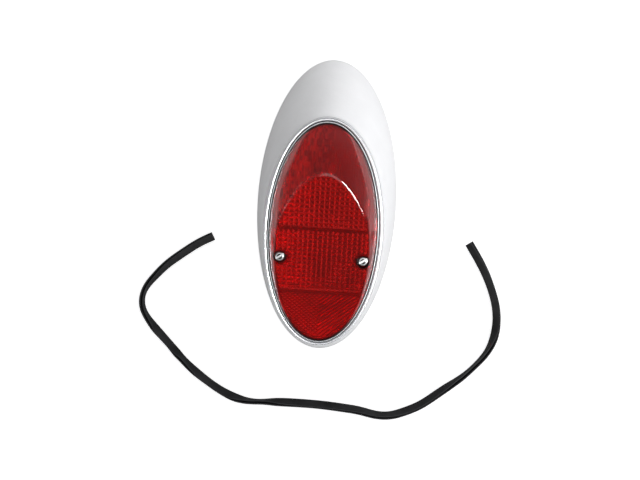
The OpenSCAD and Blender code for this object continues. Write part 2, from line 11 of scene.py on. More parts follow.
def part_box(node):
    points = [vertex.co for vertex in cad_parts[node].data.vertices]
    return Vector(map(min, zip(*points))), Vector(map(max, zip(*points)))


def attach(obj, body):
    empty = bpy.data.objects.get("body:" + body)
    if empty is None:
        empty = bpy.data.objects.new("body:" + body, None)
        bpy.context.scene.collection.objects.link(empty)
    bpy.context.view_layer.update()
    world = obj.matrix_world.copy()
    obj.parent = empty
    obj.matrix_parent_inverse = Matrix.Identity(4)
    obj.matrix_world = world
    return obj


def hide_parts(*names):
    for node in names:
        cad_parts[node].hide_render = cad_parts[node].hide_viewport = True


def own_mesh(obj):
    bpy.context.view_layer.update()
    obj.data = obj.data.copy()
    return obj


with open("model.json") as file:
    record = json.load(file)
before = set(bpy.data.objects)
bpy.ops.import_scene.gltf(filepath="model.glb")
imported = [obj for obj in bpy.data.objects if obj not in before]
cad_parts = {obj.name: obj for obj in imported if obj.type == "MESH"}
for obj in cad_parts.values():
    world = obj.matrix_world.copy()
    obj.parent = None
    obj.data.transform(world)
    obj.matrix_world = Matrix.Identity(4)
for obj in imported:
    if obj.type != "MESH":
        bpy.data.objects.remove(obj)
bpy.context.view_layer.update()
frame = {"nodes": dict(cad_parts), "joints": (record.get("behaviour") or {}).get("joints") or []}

bl_info = {
    "name": "Oval Rear Lamp",
    "version": (1, 0, 0),
    "blender": (4, 5, 0),
    "location": "3D View > Sidebar > Rear Lamp",
    "description": "Builds an oval rear lamp with a red prismatic lens, a plated ring and its rim seal",
    "category": "Object",
}

# All shapes are worked out in millimetres and put into the meshes in metres.
MM = 0.001
JOINTS = {joint["name"]: joint for joint in frame["joints"]}

# The mouth's own frame: u across the lamp, v up it and w out of the lens.
# The screws stand this far across and up it, with their heads' seats at this height.
SCREW_U = 33.0
SCREW_V = -19.0
SCREW_SEAT = 4.8
ACROSS = np.array([1.0, 0.0, 0.0])
OUT = np.array(JOINTS["lens_lift"]["axis"])
UP = np.cross(OUT, ACROSS)
SCREW_PLACES = np.array([JOINTS[f"{side}_screw_turn"]["pos_m"] for side in ("left", "right")]) / MM
MOUTH = SCREW_PLACES.mean(axis=0) - SCREW_V * UP - SCREW_SEAT * OUT
MOUTH_AXES = np.stack([ACROSS, UP, OUT])

POD_LOW, POD_HIGH = (np.array(corner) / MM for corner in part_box("housing_shell"))
RIM_A = (POD_HIGH[0] - POD_LOW[0]) / 2
RIM_B = (POD_HIGH[1] - POD_LOW[1]) / 2

# Half sizes of the lens's outline, its walls, and how steeply its side rises.
LENS_A = 42.5
LENS_B = 88.0
LENS_EDGE = 1.2
THIN_EDGE = 0.2
LENS_WALL = 2.5
LEAST_WALL = 0.6
LENS_SLOPE = 1 / math.tan(math.radians(27))

# Where the crown starts, and the ribs across the lens's inside.
ARCH_TOP = 52.5
UPPER_RIB = 6.0
LOWER_RIB = -47.0
RIB_HALF = 1.2
RIB_DRAFT = 0.3
RIB_FOOT = 1.0

# The screws' bosses, recesses, holes and slots.
BOSS_R = 6.5
RECESS_R = 5.0
RECESS_FLOOR = 4.0
SCREW_HOLE_R = 2.25
HEAD_TOP = 7.4
SLOT_DEPTH = 1.2
SLOT_REACH = 5.0

# Heights of the stack under the lens.
RING_TOP = -1.6
LIP_TOP = -2.4
LIP_UNDER = -3.4

# The pod: its sheet, its mouth's edge and lip, its rim's flange, how full its side is, and its holes.
SHEET = 1.2
MOUTH_MARGIN = 6.5
EDGE_ROUND = 2.0
EDGE_RUN = 2.3
UNDER_RUN = 1.6
LIP_REACH = 9.0
EDGE_CUT = 0.25
RIM_FLANGE = 6.0
RIM_CUT = 0.3
RIM_FOLD = 2.4
FULLNESS = 0.35
NUT_HOLE_R = 5.5
RIVET_HOLE_R = 1.6
RIVET_TURNS = (32, 148, 212, 328)
RIVET_OUT = -6.0

# Places of the bulbs up the mouth, and heights of their contacts and springs.
BULB_V = {"upper": 32.0, "lower": -20.0}
CONTACT_W = -42.0
SPRING_LOW = -49.6
SPRING_HIGH = -45.4

# Distance in metres within which points are one, and the angle in degrees that shows as an edge.
WELD = 1e-6
SHARP = 30.0


# ---------- shapes as whole arrays ----------


def oval(a, b, out, turn):
    """Oval of half sizes a and b, moved out square to itself: (a sin t, b cos t) + out * n,
    where n is (sin t / a, cos t / b) at unit length."""
    sine, cosine = np.sin(turn), np.cos(turn)
    square = np.stack([sine / a, cosine / b], axis=-1)
    square /= np.linalg.norm(square, axis=-1, keepdims=True)
    return np.stack([a * sine, b * cosine], axis=-1) + np.asarray(out)[..., None] * square


def oval_inset(u, v, a, b, passes=9):
    """Distance of points inside an oval from its outline. The nearest point of the outline is found
    from the centre of curvature: each pass aims from that centre at the point."""
    side, along = np.abs(u), np.abs(v)
    ts = np.full(np.shape(u), math.sqrt(0.5))
    tc = ts.copy()
    for _ in range(passes):
        x, y = a * ts, b * tc
        centre_x = (a * a - b * b) * ts**3 / a
        centre_y = (b * b - a * a) * tc**3 / b
        reach = np.hypot(x - centre_x, y - centre_y)
        toward = np.maximum(np.hypot(side - centre_x, along - centre_y), 1e-9)
        ts = np.clip(((side - centre_x) * reach / toward + centre_x) / a, 0, 1)
        tc = np.clip(((along - centre_y) * reach / toward + centre_y) / b, 0, 1)
        size = np.maximum(np.hypot(ts, tc), 1e-9)
        ts, tc = ts / size, tc / size
    return np.hypot(a * ts - side, b * tc - along)


def from_mouth(points):
    """Points of the mouth's frame in the lamp's: mouth + u * across + v * up + w * out."""
    return MOUTH + np.asarray(points) @ MOUTH_AXES


def at_height(flat, w):
    """Adds the height w to flat points."""
    flat = np.asarray(flat)
    w = np.broadcast_to(np.asarray(w)[..., None], flat.shape[:-1] + (1,))
    return np.concatenate([flat, w], axis=-1)


def full_turn(steps):
    """Angles of one turn, the last one left out."""
    return np.linspace(0, 2 * math.pi, steps, endpoint=False)


def smooth_least(p, q, reach):
    """The lower of p and q, rounded where they are within reach of each other:
    least(p, q) - (1 - |p - q| / reach)^2 * reach / 4."""
    near = np.clip(1 - np.abs(p - q) / reach, 0, 1)
    return np.minimum(p, q) - near**2 * reach / 4


def saw(x):
    """Triangle wave of period 1: 0 at whole numbers and 1 half way."""
    return 1 - np.abs(2 * (x - np.floor(x)) - 1)


def bend(first, corner, last, steps):
    """Rows along a parabola from first to last that leaves and arrives along the lines to corner:
    (1-s)^2 first + 2 s (1-s) corner + s^2 last."""
    s = np.linspace(0, 1, steps).reshape((-1,) + (1,) * first.ndim)
    return (1 - s) ** 2 * first + 2 * s * (1 - s) * corner + s**2 * last


def between(first, last, steps):
    """Rows on straight lines from first to last, both left out."""
    s = np.linspace(0, 1, steps + 2)[1:-1].reshape((-1,) + (1,) * first.ndim)
    return first + (last - first) * s


def rounded(corners, radius, steps=4):
    """A closed outline with each corner replaced by a parabola that starts and ends radius away from
    it, or 0.45 of the side's length where that is less."""
    corners = np.asarray(corners, float)
    back = np.roll(corners, 1, axis=0) - corners
    ahead = np.roll(corners, -1, axis=0) - corners
    back_size = np.linalg.norm(back, axis=1, keepdims=True)
    ahead_size = np.linalg.norm(ahead, axis=1, keepdims=True)
    start = corners + back / back_size * np.minimum(radius, 0.45 * back_size)
    end = corners + ahead / ahead_size * np.minimum(radius, 0.45 * ahead_size)
    return bend(start, corners, end, steps).transpose(1, 0, 2).reshape(-1, 2)


def steps_of(points):
    """Distance from each point to the next."""
    return np.linalg.norm(np.diff(points, axis=0), axis=1)


def smooth_curve(points, count):
    """Natural cubic spline through points over their chord lengths, resampled to count points at even
    steps of arc length."""
    points = np.asarray(points, float)
    gaps = steps_of(points)
    knots = np.concatenate([[0], np.cumsum(gaps)])
    n = len(points)
    system = np.eye(n)
    inner = np.arange(1, n - 1)
    system[inner, inner - 1] = gaps[:-1]
    system[inner, inner] = 2 * (gaps[:-1] + gaps[1:])
    system[inner, inner + 1] = gaps[1:]
    slope = np.diff(points, axis=0) / gaps[:, None]
    right = np.zeros_like(points)
    right[1:-1] = 6 * np.diff(slope, axis=0)
    second = np.linalg.solve(system, right)

    def place(t):
        i = np.clip(np.searchsorted(knots, t, side="right") - 1, 0, n - 2)
        h = gaps[i][:, None]
        before = (knots[i + 1] - t)[:, None]
        after = (t - knots[i])[:, None]
        return (
            second[i] * before**3 / (6 * h)
            + second[i + 1] * after**3 / (6 * h)
            + (points[i] / h - second[i] * h / 6) * before
            + (points[i + 1] / h - second[i + 1] * h / 6) * after
        )

    fine = np.linspace(0, knots[-1], 8 * count)
    run = np.concatenate([[0], np.cumsum(steps_of(place(fine)))])
    return place(np.interp(np.linspace(0, run[-1], count), run, fine))


def swept(path, section, level):
    """Carries a flat section (x, y) along a path: path + x * side + y * rise, where side is square to
    the path and to the level direction, and rise is square to both. The path's direction at a point
    is that of the chord between its neighbours. Section may be one outline or one for each point."""
    along = np.gradient(path, axis=0)
    along /= np.linalg.norm(along, axis=1, keepdims=True)
    side = np.cross(along, np.asarray(level, float))
    side /= np.linalg.norm(side, axis=1, keepdims=True)
    rise = np.cross(side, along)
    section = np.broadcast_to(section, (len(path),) + np.shape(section)[-2:])
    return path[:, None] + section[..., :1] * side[:, None] + section[..., 1:] * rise[:, None]


def capped(rings):
    """Adds the middle of the first and of the last ring as a closing ring at each end."""
    first = np.broadcast_to(rings[:1].mean(axis=1, keepdims=True), rings[:1].shape)
    last = np.broadcast_to(rings[-1:].mean(axis=1, keepdims=True), rings[-1:].shape)
    return np.concatenate([first, rings, last])


def round_wire(path, radius, steps, level):
    """A closed round wire along a path: the circle radius * (cos, sin) swept along it."""
    turn = full_turn(steps)
    circle = radius * np.stack([np.cos(turn), np.sin(turn)], axis=-1)
    return capped(swept(path, circle, level))


def turned(profile, steps, centre=(0.0, 0.0)):
    """A profile of (radius, w) turned about the w axis through a centre (u, v):
    (u + r sin t, v + r cos t, w)."""
    profile = np.asarray(profile, float)
    turn = full_turn(steps)
    ring = np.stack([np.sin(turn), np.cos(turn)], axis=-1)
    return at_height(np.asarray(centre) + profile[:, None, :1] * ring, profile[:, 1:])


# ---------- meshes ----------


def grid_faces(rows, columns, round_rows, round_columns):
    """Four-sided faces of a grid of points, as point numbers row * columns + column."""
    row = np.arange(rows if round_rows else rows - 1)[:, None]
    column = np.arange(columns if round_columns else columns - 1)[None]
    next_row, next_column = (row + 1) % rows, (column + 1) % columns
    faces = [row * columns + column, row * columns + next_column]
    faces += [next_row * columns + next_column, next_row * columns + column]
    return np.stack(faces, axis=-1).reshape(-1, 4)


def split_faces(faces, second_way):
    """Each four-sided face as two triangles, across its other diagonal where second_way is true."""
    a, b, c, d = faces.T
    one = np.stack([a, b, np.where(second_way, d, c)], axis=-1)
    two = np.stack([np.where(second_way, b, a), c, d], axis=-1)
    return np.concatenate([one, two])


class Skin:
    """Sheets of points, in millimetres in the lamp's frame, that together close a piece."""

    def __init__(self):
        self.points = []
        self.faces = []
        self.inner = []
        self.painted_shading = []
        self.count = 0

    def add(
        self, points, round_rows=False, round_columns=True, second_way=None, inner=False, painted_shading=0.0
    ):
        """Adds a grid of points as one sheet, with its painted light and shade. A sheet closes on
        itself along its rows or columns where they are round, and an inner sheet bounds a hollow."""
        points = np.asarray(points, float)
        painted_shading = np.asarray(painted_shading, float)[..., None]
        self.painted_shading.append(np.broadcast_to(painted_shading, points.shape[:2] + (1,)).reshape(-1))
        faces = grid_faces(points.shape[0], points.shape[1], round_rows, round_columns)
        if second_way is not None:
            faces = split_faces(faces, second_way.reshape(-1))
        self.points.append(points.reshape(-1, 3))
        self.faces += (faces + self.count).tolist()
        self.inner += [inner] * len(faces)
        self.count += points.shape[0] * points.shape[1]
        return self

    def turn(self, profile, steps, centre, inner=False):
        """Adds a profile turned about a line out of the mouth."""
        return self.add(from_mouth(turned(profile, steps, centre)), inner=inner)

    def piece(self, name, sharp=SHARP):
        """Welds the sheets, turns every face outwards, and gives back the piece. Faces round an inner
        hollow are turned towards the hollow."""
        mesh = bpy.data.meshes.new(name)
        mesh.from_pydata((np.concatenate(self.points) * MM).tolist(), [], self.faces)
        painted_shading = np.concatenate(self.painted_shading)
        if painted_shading.any():
            mesh.attributes.new("painted_shading", "FLOAT", "POINT").data.foreach_set("value", painted_shading)
        mesh.polygons.foreach_set("material_index", np.array(self.inner, np.int32))
        work = bmesh.new()
        work.from_mesh(mesh)
        bmesh.ops.remove_doubles(work, verts=work.verts, dist=WELD)
        bmesh.ops.dissolve_degenerate(work, edges=work.edges, dist=WELD)
        bmesh.ops.recalc_face_normals(work, faces=work.faces)
        bmesh.ops.reverse_faces(work, faces=[face for face in work.faces if face.material_index])
        loose = sum(not edge.is_manifold for edge in work.edges)
        if loose:
            raise RuntimeError(f"{name} isn't closed: {loose} open edges")
        work.to_mesh(mesh)
        work.free()
        mesh.polygons.foreach_set("material_index", np.zeros(len(mesh.polygons), np.int32))
        piece = bpy.data.objects.new(name, mesh)
        bpy.context.scene.collection.objects.link(piece)
        shade(piece, sharp)
        return piece


def shade(piece, sharp):
    """Smooth shading with a crisp edge wherever two faces meet at more than sharp degrees."""
    mesh = piece.data
    mesh.polygons.foreach_set("use_smooth", np.ones(len(mesh.polygons), bool))
    mesh.set_sharp_from_angle(angle=math.radians(sharp))
    mesh.update()


def cut(piece, tool, sharp):
    """Takes the tool's space out of the piece and drops the tool."""
    change = piece.modifiers.new("cut", "BOOLEAN")
    change.object = tool
    change.operation, change.solver = "DIFFERENCE", "MANIFOLD"
    graph = bpy.context.evaluated_depsgraph_get()
    before = piece.data
    after = bpy.data.meshes.new_from_object(piece.evaluated_get(graph))
    if len(after.polygons) == len(before.polygons) or not after.polygons:
        raise RuntimeError(f"{piece.name} wasn't cut by {tool.name}")
    piece.modifiers.clear()
    piece.data = after
    after.name = piece.name
    bpy.data.meshes.remove(before)
    bpy.data.objects.remove(tool)
    shade(piece, sharp)


def paint_shading(piece, where, value):
    """Sets the painted light and shade of the points for which where(u, v, w), in the mouth's frame, is
    true.
    """
    mesh = piece.data
    points = np.empty(3 * len(mesh.vertices))
    mesh.vertices.foreach_get("co", points)
    u, v, w = ((points.reshape(-1, 3) / MM - MOUTH) @ MOUTH_AXES.T).T
    layer = mesh.attributes.get("painted_shading") or mesh.attributes.new("painted_shading", "FLOAT", "POINT")
    painted_shading = np.empty(len(u))
    layer.data.foreach_get("value", painted_shading)
    layer.data.foreach_set("value", np.where(where(u, v, w), value, painted_shading))


def finish_piece(piece, body, slot, material, *nodes):
    """Gives a piece its material, body and the CAD nodes that it stands for. The slot is not used."""
    piece.data.materials.clear()
    piece.data.materials.append(material)
    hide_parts(*nodes)
    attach(piece, body)


def dress(names, material):
    """Puts a material on carried CAD nodes."""
    for name in names:
        node = frame["nodes"][name]
        if not node.material_slots:
            node.data.materials.append(material)
        for place in node.material_slots:
            place.material = material


# ---------- finishes ----------

GROUPS = {}
MATERIALS = {}

# Painted shade for grooves and slots, a colour's share in its deepest shade, and how much painted
# shadow darkens a foot.
PAINTED_SHADE_COLOUR = (0.012, 0.012, 0.013, 1)
DEEP = 0.12
FOOT_SHADOW_SHARE = 0.6


def opaque(colour, share=1.0):
    """A colour times a share, with full alpha."""
    return tuple(share * part for part in colour[:3]) + (1.0,)


def join(value, socket):
    """Feeds a shader socket from another socket or with a plain value."""
    if isinstance(value, bpy.types.NodeSocket):
        socket.id_data.links.new(value, socket)
    else:
        socket.default_value = value


def feed(node, **values):
    """Feeds a shader node's inputs by name, in which _ stands for a space."""
    for label, value in values.items():
        name = label.replace("_", " ")
        join(value, next(socket for socket in node.inputs if socket.name == name and socket.enabled))


def add_node(tree, kind, **values):
    """A new shader node with its inputs fed; gives back its outputs."""
    node = tree.nodes.new("ShaderNode" + kind)
    feed(node, **values)
    return node.outputs


def math_node(tree, operation, first, second, clamp=False):
    """A Math node of two sockets or plain numbers; gives back its output."""
    node = tree.nodes.new("ShaderNodeMath")
    node.operation, node.use_clamp = operation, clamp
    join(first, node.inputs[0])
    join(second, node.inputs[1])
    return node.outputs[0]


def part_along(tree, vector, way):
    """How far a vector socket points a certain way: vector . way."""
    node = tree.nodes.new("ShaderNodeVectorMath")
    node.operation = "DOT_PRODUCT"
    join(vector, node.inputs[0])
    join(tuple(way), node.inputs[1])
    return node.outputs["Value"]


def mix_colour(tree, share, first, second):
    """A colour mix of two sockets or plain colours; gives back its output."""
    node = tree.nodes.new("ShaderNodeMix")
    node.data_type = "RGBA"
    feed(node, Factor=share, A=first, B=second)
    return next(socket for socket in node.outputs if socket.enabled)


def noise(tree, size, detail):
    """Noise on object coordinates; size is a socket or number of millimetres."""
    place = add_node(tree, "TexCoord")["Object"]
    scale = math_node(tree, "DIVIDE", 1 / MM, size)
    return add_node(tree, "TexNoise", Vector=place, Scale=scale, Detail=detail)["Fac"]


def stretched(value, low, high):
    """Spreads a socket's values between low and high over 0 to 1."""
    return add_node(value.id_data, "MapRange", Value=value, From_Min=low, From_Max=high)["Result"]


def group_of(name, *made, **given):
    """A new shader node group, the outputs of its input node and its output node. What is made is
    named, and what is given has its first values."""
    tree = bpy.data.node_groups.new(name, "ShaderNodeTree")
    for label, value in given.items():
        kind = "NodeSocketColor" if isinstance(value, tuple) else "NodeSocketFloat"
        socket = tree.interface.new_socket(
            name=label.replace("_", " "), in_out="INPUT", socket_type=kind
        )
        socket.default_value = value
    for label in made:
        kind = "NodeSocketColor" if label == "Colour" else "NodeSocketFloat"
        tree.interface.new_socket(name=label, in_out="OUTPUT", socket_type=kind)
    return tree, tree.nodes.new("NodeGroupInput").outputs, tree.nodes.new("NodeGroupOutput")


def mottle_group():
    """Two shades of one colour in soft patches."""
    tree, given, made = group_of(
        "Mottle", "Colour", Colour=(0.8, 0.8, 0.8, 1), Shade=(0.7, 0.7, 0.7, 1), Patch=20.0
    )
    patches = stretched(noise(tree, given["Patch"], 3.0), 0.35, 0.65)
    feed(made, Colour=mix_colour(tree, patches, given["Colour"], given["Shade"]))
    return tree


def grain_group():
    """Fine grain: a height for the bump and a roughness that changes with it."""
    tree, given, made = group_of("Grain", "Roughness", "Height", Size=0.5, Roughness=0.4, Spread=0.1)
    grain = noise(tree, given["Size"], 4.0)
    off_middle = math_node(tree, "SUBTRACT", grain, 0.5)
    change = math_node(tree, "MULTIPLY", off_middle, given["Spread"])
    rough = math_node(tree, "ADD", change, given["Roughness"], clamp=True)
    feed(made, Roughness=rough, Height=grain)
    return tree


def mixed_in(tree, given, made, where, second):
    """Ends a group: mixes its second colour into the first, by where it lies times the amount."""
    share = math_node(tree, "MULTIPLY", where, given["Amount"], clamp=True)
    feed(made, Colour=mix_colour(tree, share, given["Colour"], given[second]))
    return tree


def dust_group():
    """Dust that settles on what faces up, in uneven patches."""
    tree, given, made = group_of(
        "Dust", "Colour", Colour=(0.8, 0.8, 0.8, 1), Dust_Colour=(0.5, 0.47, 0.42, 1), Amount=0.1
    )
    facing = add_node(tree, "SeparateXYZ", Vector=add_node(tree, "NewGeometry")["Normal"])
    upward = math_node(tree, "MAXIMUM", facing["Z"], 0.0)
    lying = math_node(tree, "MULTIPLY", upward, stretched(noise(tree, 14.0, 6.0), 0.3, 0.75))
    return mixed_in(tree, given, made, lying, "Dust Colour")


def wear_group():
    """A lighter shade along raised edges, broken up by noise."""
    tree, given, made = group_of(
        "Edge wear", "Colour", Colour=(0.5, 0.5, 0.5, 1), Worn=(0.8, 0.8, 0.8, 1), Amount=0.4
    )
    edges = stretched(add_node(tree, "NewGeometry")["Pointiness"], 0.51, 0.58)
    broken = math_node(tree, "MULTIPLY", edges, noise(tree, 1.2, 5.0))
    return mixed_in(tree, given, made, broken, "Worn")


def mottled(tree, colour, shade, patch):
    """A colour mottled with its darker share, shade; gives back its output."""
    return effect(
        tree, "mottle", Colour=opaque(colour), Shade=opaque(colour, shade), Patch=patch
    )["Colour"]


def effect(tree, name, **values):
    """Places a shared effect in a material; gives back its outputs. Its group is made the first time
    that it is asked for."""
    makers = {"mottle": mottle_group, "grain": grain_group, "dust": dust_group, "wear": wear_group}
    if name not in GROUPS:
        GROUPS[name] = makers[name]()
    node = tree.nodes.new("ShaderNodeGroup")
    node.node_tree = GROUPS[name]
    feed(node, **values)
    return node.outputs


def principled(name):
    """A new material with one Principled shader; gives back the material, its tree and the shader."""
    material = bpy.data.materials.new(name)
    material.use_nodes = True
    tree = material.node_tree
    return material, tree, tree.nodes["Principled BSDF"]


def grained(tree, shader, size, rough, spread, depth=0.0, reach=0.0):
    """Fine grain in a shader's roughness and, where it has depth, in its normal."""
    fine = effect(tree, "grain", Size=size, Roughness=rough, Spread=spread)
    feed(shader, Roughness=fine["Roughness"])
    if depth:
        bump = add_node(tree, "Bump", Strength=depth, Distance=reach * MM, Height=fine["Height"])
        feed(shader, Normal=bump["Normal"])


def painted_shading_of(tree):
    """The piece's own painted light and shade at each point."""
    node = tree.nodes.new("ShaderNodeAttribute")
    node.attribute_name = "painted_shading"
    return node.outputs["Fac"]


def coated(
    name, colour, shade, patch, grain, depth, rough, spread, metallic=0.0, coat=0.0, coat_rough=0.08,
    specular=0.5, dust=0.0, worn=None, painted_shade=False, foot=0.0,
):
    """A solid finish: a mottled colour, edge wear and dust where they are asked for, a painted shadow
    that darkens its foot, painted shade where the piece's painted shading asks for it, and fine grain
    in its roughness and bump. Patch, grain and foot are in millimetres, and shade is the share of the
    colour that its darker patches have."""
    material, tree, shader = principled(name)
    base = mottled(tree, colour, shade, patch)
    if worn is not None:
        base = effect(tree, "wear", Colour=base, Worn=opaque(worn), Amount=0.8)["Colour"]
    if dust:
        base = effect(tree, "dust", Colour=base, Amount=dust)["Colour"]
    if foot:
        # Painted shadow: the colour darkens towards its deepest shade near the bottom of the piece.
        place = add_node(tree, "SeparateXYZ", Vector=add_node(tree, "TexCoord")["Object"])
        share = math_node(tree, "MULTIPLY", stretched(place["Z"], foot * MM, 0.0), FOOT_SHADOW_SHARE)
        base = mix_colour(tree, share, base, opaque(colour, DEEP))
    feed(
        shader, Metallic=metallic, Coat_Weight=coat, Coat_Roughness=coat_rough,
        Specular_IOR_Level=specular,
    )
    # Painted shade: a near black colour, without metal, where the piece's painted shading is high.
    if painted_shade:
        marked = math_node(tree, "MULTIPLY", painted_shading_of(tree), 1.0, clamp=True)
        base = mix_colour(tree, marked, base, PAINTED_SHADE_COLOUR)
        unshaded = math_node(tree, "SUBTRACT", 1.0, marked)
        feed(shader, Metallic=math_node(tree, "MULTIPLY", unshaded, metallic))
    feed(shader, Base_Color=base)
    grained(tree, shader, grain, rough, spread, depth, grain)
    return material


# Each solid finish: its colour, then shade, patch, grain, depth, rough and spread as coated takes
# them, and the rest by name. The pod's colour is a setting.
METAL = dict(metallic=1.0)
FINISHES = {
    # The pod's paint is darkened by a painted shadow along its foot, from the rim to 3.5 mm up.
    "Pod paint": (
        None, 0.955, 34.0, 2.4, 0.05, 0.32, 0.08, dict(coat=0.35, coat_rough=0.2, dust=0.05, foot=3.5)
    ),
    "Reflector paint": (
        (0.88, 0.88, 0.89), 0.92, 9.0, 0.9, 0.12, 0.34, 0.2, dict(metallic=0.1, dust=0.08)
    ),
    "Zinc plated steel": (
        (0.62, 0.61, 0.57), 0.72, 4.0, 0.35, 0.25, 0.38, 0.3, dict(METAL, worn=(0.82, 0.82, 0.8))
    ),
    "Socket brass": (
        (0.56, 0.44, 0.24), 0.7, 5.0, 0.4, 0.2, 0.36, 0.25, dict(METAL, worn=(0.8, 0.7, 0.46))
    ),
    "Contact brass": (
        (0.78, 0.6, 0.28), 0.78, 3.0, 0.3, 0.15, 0.26, 0.2, dict(METAL, worn=(0.9, 0.78, 0.5))
    ),
    "Cap plating": ((0.7, 0.62, 0.42), 0.8, 4.0, 0.3, 0.12, 0.28, 0.2, METAL),
    "Spring wire": ((0.45, 0.45, 0.46), 0.7, 2.0, 0.2, 0.2, 0.34, 0.2, METAL),
    "Filament wire": ((0.32, 0.32, 0.33), 0.7, 1.0, 0.2, 0.15, 0.4, 0.2, METAL),
    "Solder": ((0.55, 0.55, 0.56), 0.75, 1.2, 0.5, 0.3, 0.4, 0.3, METAL),
    "Board": ((0.16, 0.07, 0.03), 0.6, 3.0, 0.25, 0.2, 0.45, 0.2, {}),
    "Black glass": ((0.012, 0.012, 0.02), 0.5, 2.0, 0.8, 0.1, 0.12, 0.08, {}),
    "Washer fibre": ((0.018, 0.016, 0.016), 0.5, 1.0, 0.2, 0.35, 0.7, 0.2, dict(specular=0.3)),
    "Gasket rubber": ((0.008, 0.008, 0.008), 0.6, 6.0, 0.3, 0.2, 0.55, 0.2, dict(specular=0.25)),
    "Screw plating": (
        (0.93, 0.93, 0.93), 0.9, 1.5, 0.25, 0.08, 0.14, 0.1, dict(metallic=0.8, painted_shade=True)
    ),
    "Ring plating": (
        (0.86, 0.87, 0.89), 0.94, 12.0, 1.4, 0.03, 0.24, 0.08, dict(metallic=0.85, painted_shade=True)
    ),
}


def finish(name, colour=None):
    """A solid finish of the table, made the first time that it is asked for."""
    if name not in MATERIALS:
        own, *values, more = FINISHES[name]
        MATERIALS[name] = coated(name, own if colour is None else colour, *values, **more)
    return MATERIALS[name]


def strip_rubber():
    """Black rubber, with painted light that makes the sides of the section paler, and a dry bloom in
    patches.
    """
    material, tree, shader = principled("Strip rubber")
    base = effect(
        tree, "mottle", Colour=(0.003, 0.003, 0.0033, 1), Shade=(0.012, 0.012, 0.013, 1), Patch=9.0
    )["Colour"]
    # Painted light: the sides of the section are paler.
    base = mix_colour(tree, painted_shading_of(tree), base, (0.032, 0.032, 0.034, 1))
    bloom = effect(tree, "dust", Colour=base, Dust_Colour=(0.16, 0.16, 0.165, 1), Amount=0.05)
    feed(shader, Base_Color=bloom["Colour"], Specular_IOR_Level=0.2)
    grained(tree, shader, 0.45, 0.55, 0.25, 0.3, 0.3)
    return material


def lens_red(colour, valley_shade):
    """Clear red acrylic: light passes and is coloured, with painted shade that deepens the colour in
    the valleys between the prisms. The surface isn't quite flat, and the drafted side has a film of
    polish."""
    material, tree, shader = principled("Lens red")
    base = mottled(tree, colour, 0.9, 26.0)
    # Painted shade: the colour deepens towards its deepest share where the painted shading is high.
    valleys = math_node(tree, "MULTIPLY", painted_shading_of(tree), valley_shade, clamp=True)
    facing = part_along(tree, add_node(tree, "NewGeometry")["Normal"], OUT)
    feed(
        shader, Base_Color=mix_colour(tree, valleys, base, opaque(colour, DEEP)), IOR=1.49,
        Coat_Weight=stretched(facing, 0.75, 0.55), Coat_Roughness=0.25, Transmission_Weight=0.85,
    )
    grained(tree, shader, 5.0, 0.04, 0.05, 0.04, 1.0)
    return material


def bulb_glass():
    """Clear thin glass with a faint smear in its roughness."""
    material, tree, shader = principled("Bulb glass")
    base = effect(tree, "mottle", Colour=(0.97, 0.98, 1, 1), Shade=(0.94, 0.95, 0.97, 1), Patch=12.0)
    feed(shader, Base_Color=base["Colour"], IOR=1.5, Transmission_Weight=1.0)
    grained(tree, shader, 8.0, 0.02, 0.03)
    return material


# ---------- pod ----------


def mouth_row(out, w, turn):
    """A row round the mouth, out from the lens's outline, at height w."""
    return from_mouth(at_height(oval(LENS_A, LENS_B, out, turn), w))


def rim_row(out, z, turn):
    """A row round the rim, out from it, at height z."""
    return at_height(oval(RIM_A, RIM_B, out, turn), z)


def pod_side(rise, wall, turn):
    """Point of the pod's side. It runs from the rim to the mouth's edge as foot + (top - foot) * ease,
    and bulges because ease across is (1-f)s + f(1-cos 90s) and ease up is (1-f)s + f sin 90s."""
    foot = rim_row(-wall, wall, turn)
    top = mouth_row(MOUTH_MARGIN - wall, LIP_TOP - EDGE_ROUND, turn)
    quarter = rise * math.pi / 2
    across = (1 - FULLNESS) * rise + FULLNESS * (1 - np.cos(quarter))
    up = (1 - FULLNESS) * rise + FULLNESS * np.sin(quarter)
    return foot + (top - foot) * np.stack([across, across, up], axis=-1)


def pod_rows(turn):
    """Rows of the pressed shell, round its section: up the outside, over the rounded front edge, in
    along the lip, back down the inside and along the rim's flange, which folds in on a radius."""
    outside = pod_side(np.linspace(0, 1, 52)[2:, None], 0.0, turn)
    fold = bend(rim_row(-RIM_FOLD, 0.0, turn), rim_row(0.0, 0.0, turn), outside[0], 7)[:-1]
    last = outside[-1]
    slope = last - outside[-2]
    corner = last + slope * (EDGE_ROUND / np.maximum(slope @ OUT, 0.01))[..., None]
    edge = bend(last, corner, mouth_row(MOUTH_MARGIN - EDGE_RUN, LIP_TOP, turn), 9)[1:]
    lip_end = mouth_row(-LIP_REACH + EDGE_CUT, LIP_TOP, turn)
    turn_in = bend(
        lip_end, mouth_row(-LIP_REACH, (LIP_TOP + LIP_UNDER) / 2, turn),
        mouth_row(-LIP_REACH + EDGE_CUT, LIP_UNDER, turn), 5,
    )
    lip_under = mouth_row(MOUTH_MARGIN - UNDER_RUN, LIP_UNDER, turn)[None]
    inside = pod_side(np.linspace(1, 0, 30)[:, None], SHEET, turn)
    flange = np.stack([
        rim_row(-RIM_FLANGE + RIM_CUT, SHEET, turn),
        rim_row(-RIM_FLANGE, SHEET / 2, turn),
        rim_row(-RIM_FLANGE + RIM_CUT, 0.0, turn),
    ])
    lip = between(edge[-1], lip_end, 3)
    return np.concatenate([outside, edge, lip, turn_in, lip_under, inside, flange, fold])


def hole_tools(name, places):
    """One tool of several turned plugs: (radius, low, high, u, v) for each."""
    skin = Skin()
    for radius, low, high, u, v in places:
        skin.turn([(0, low), (radius, low), (radius, high), (0, high)], 40, (u, v))
    return skin.piece(name)


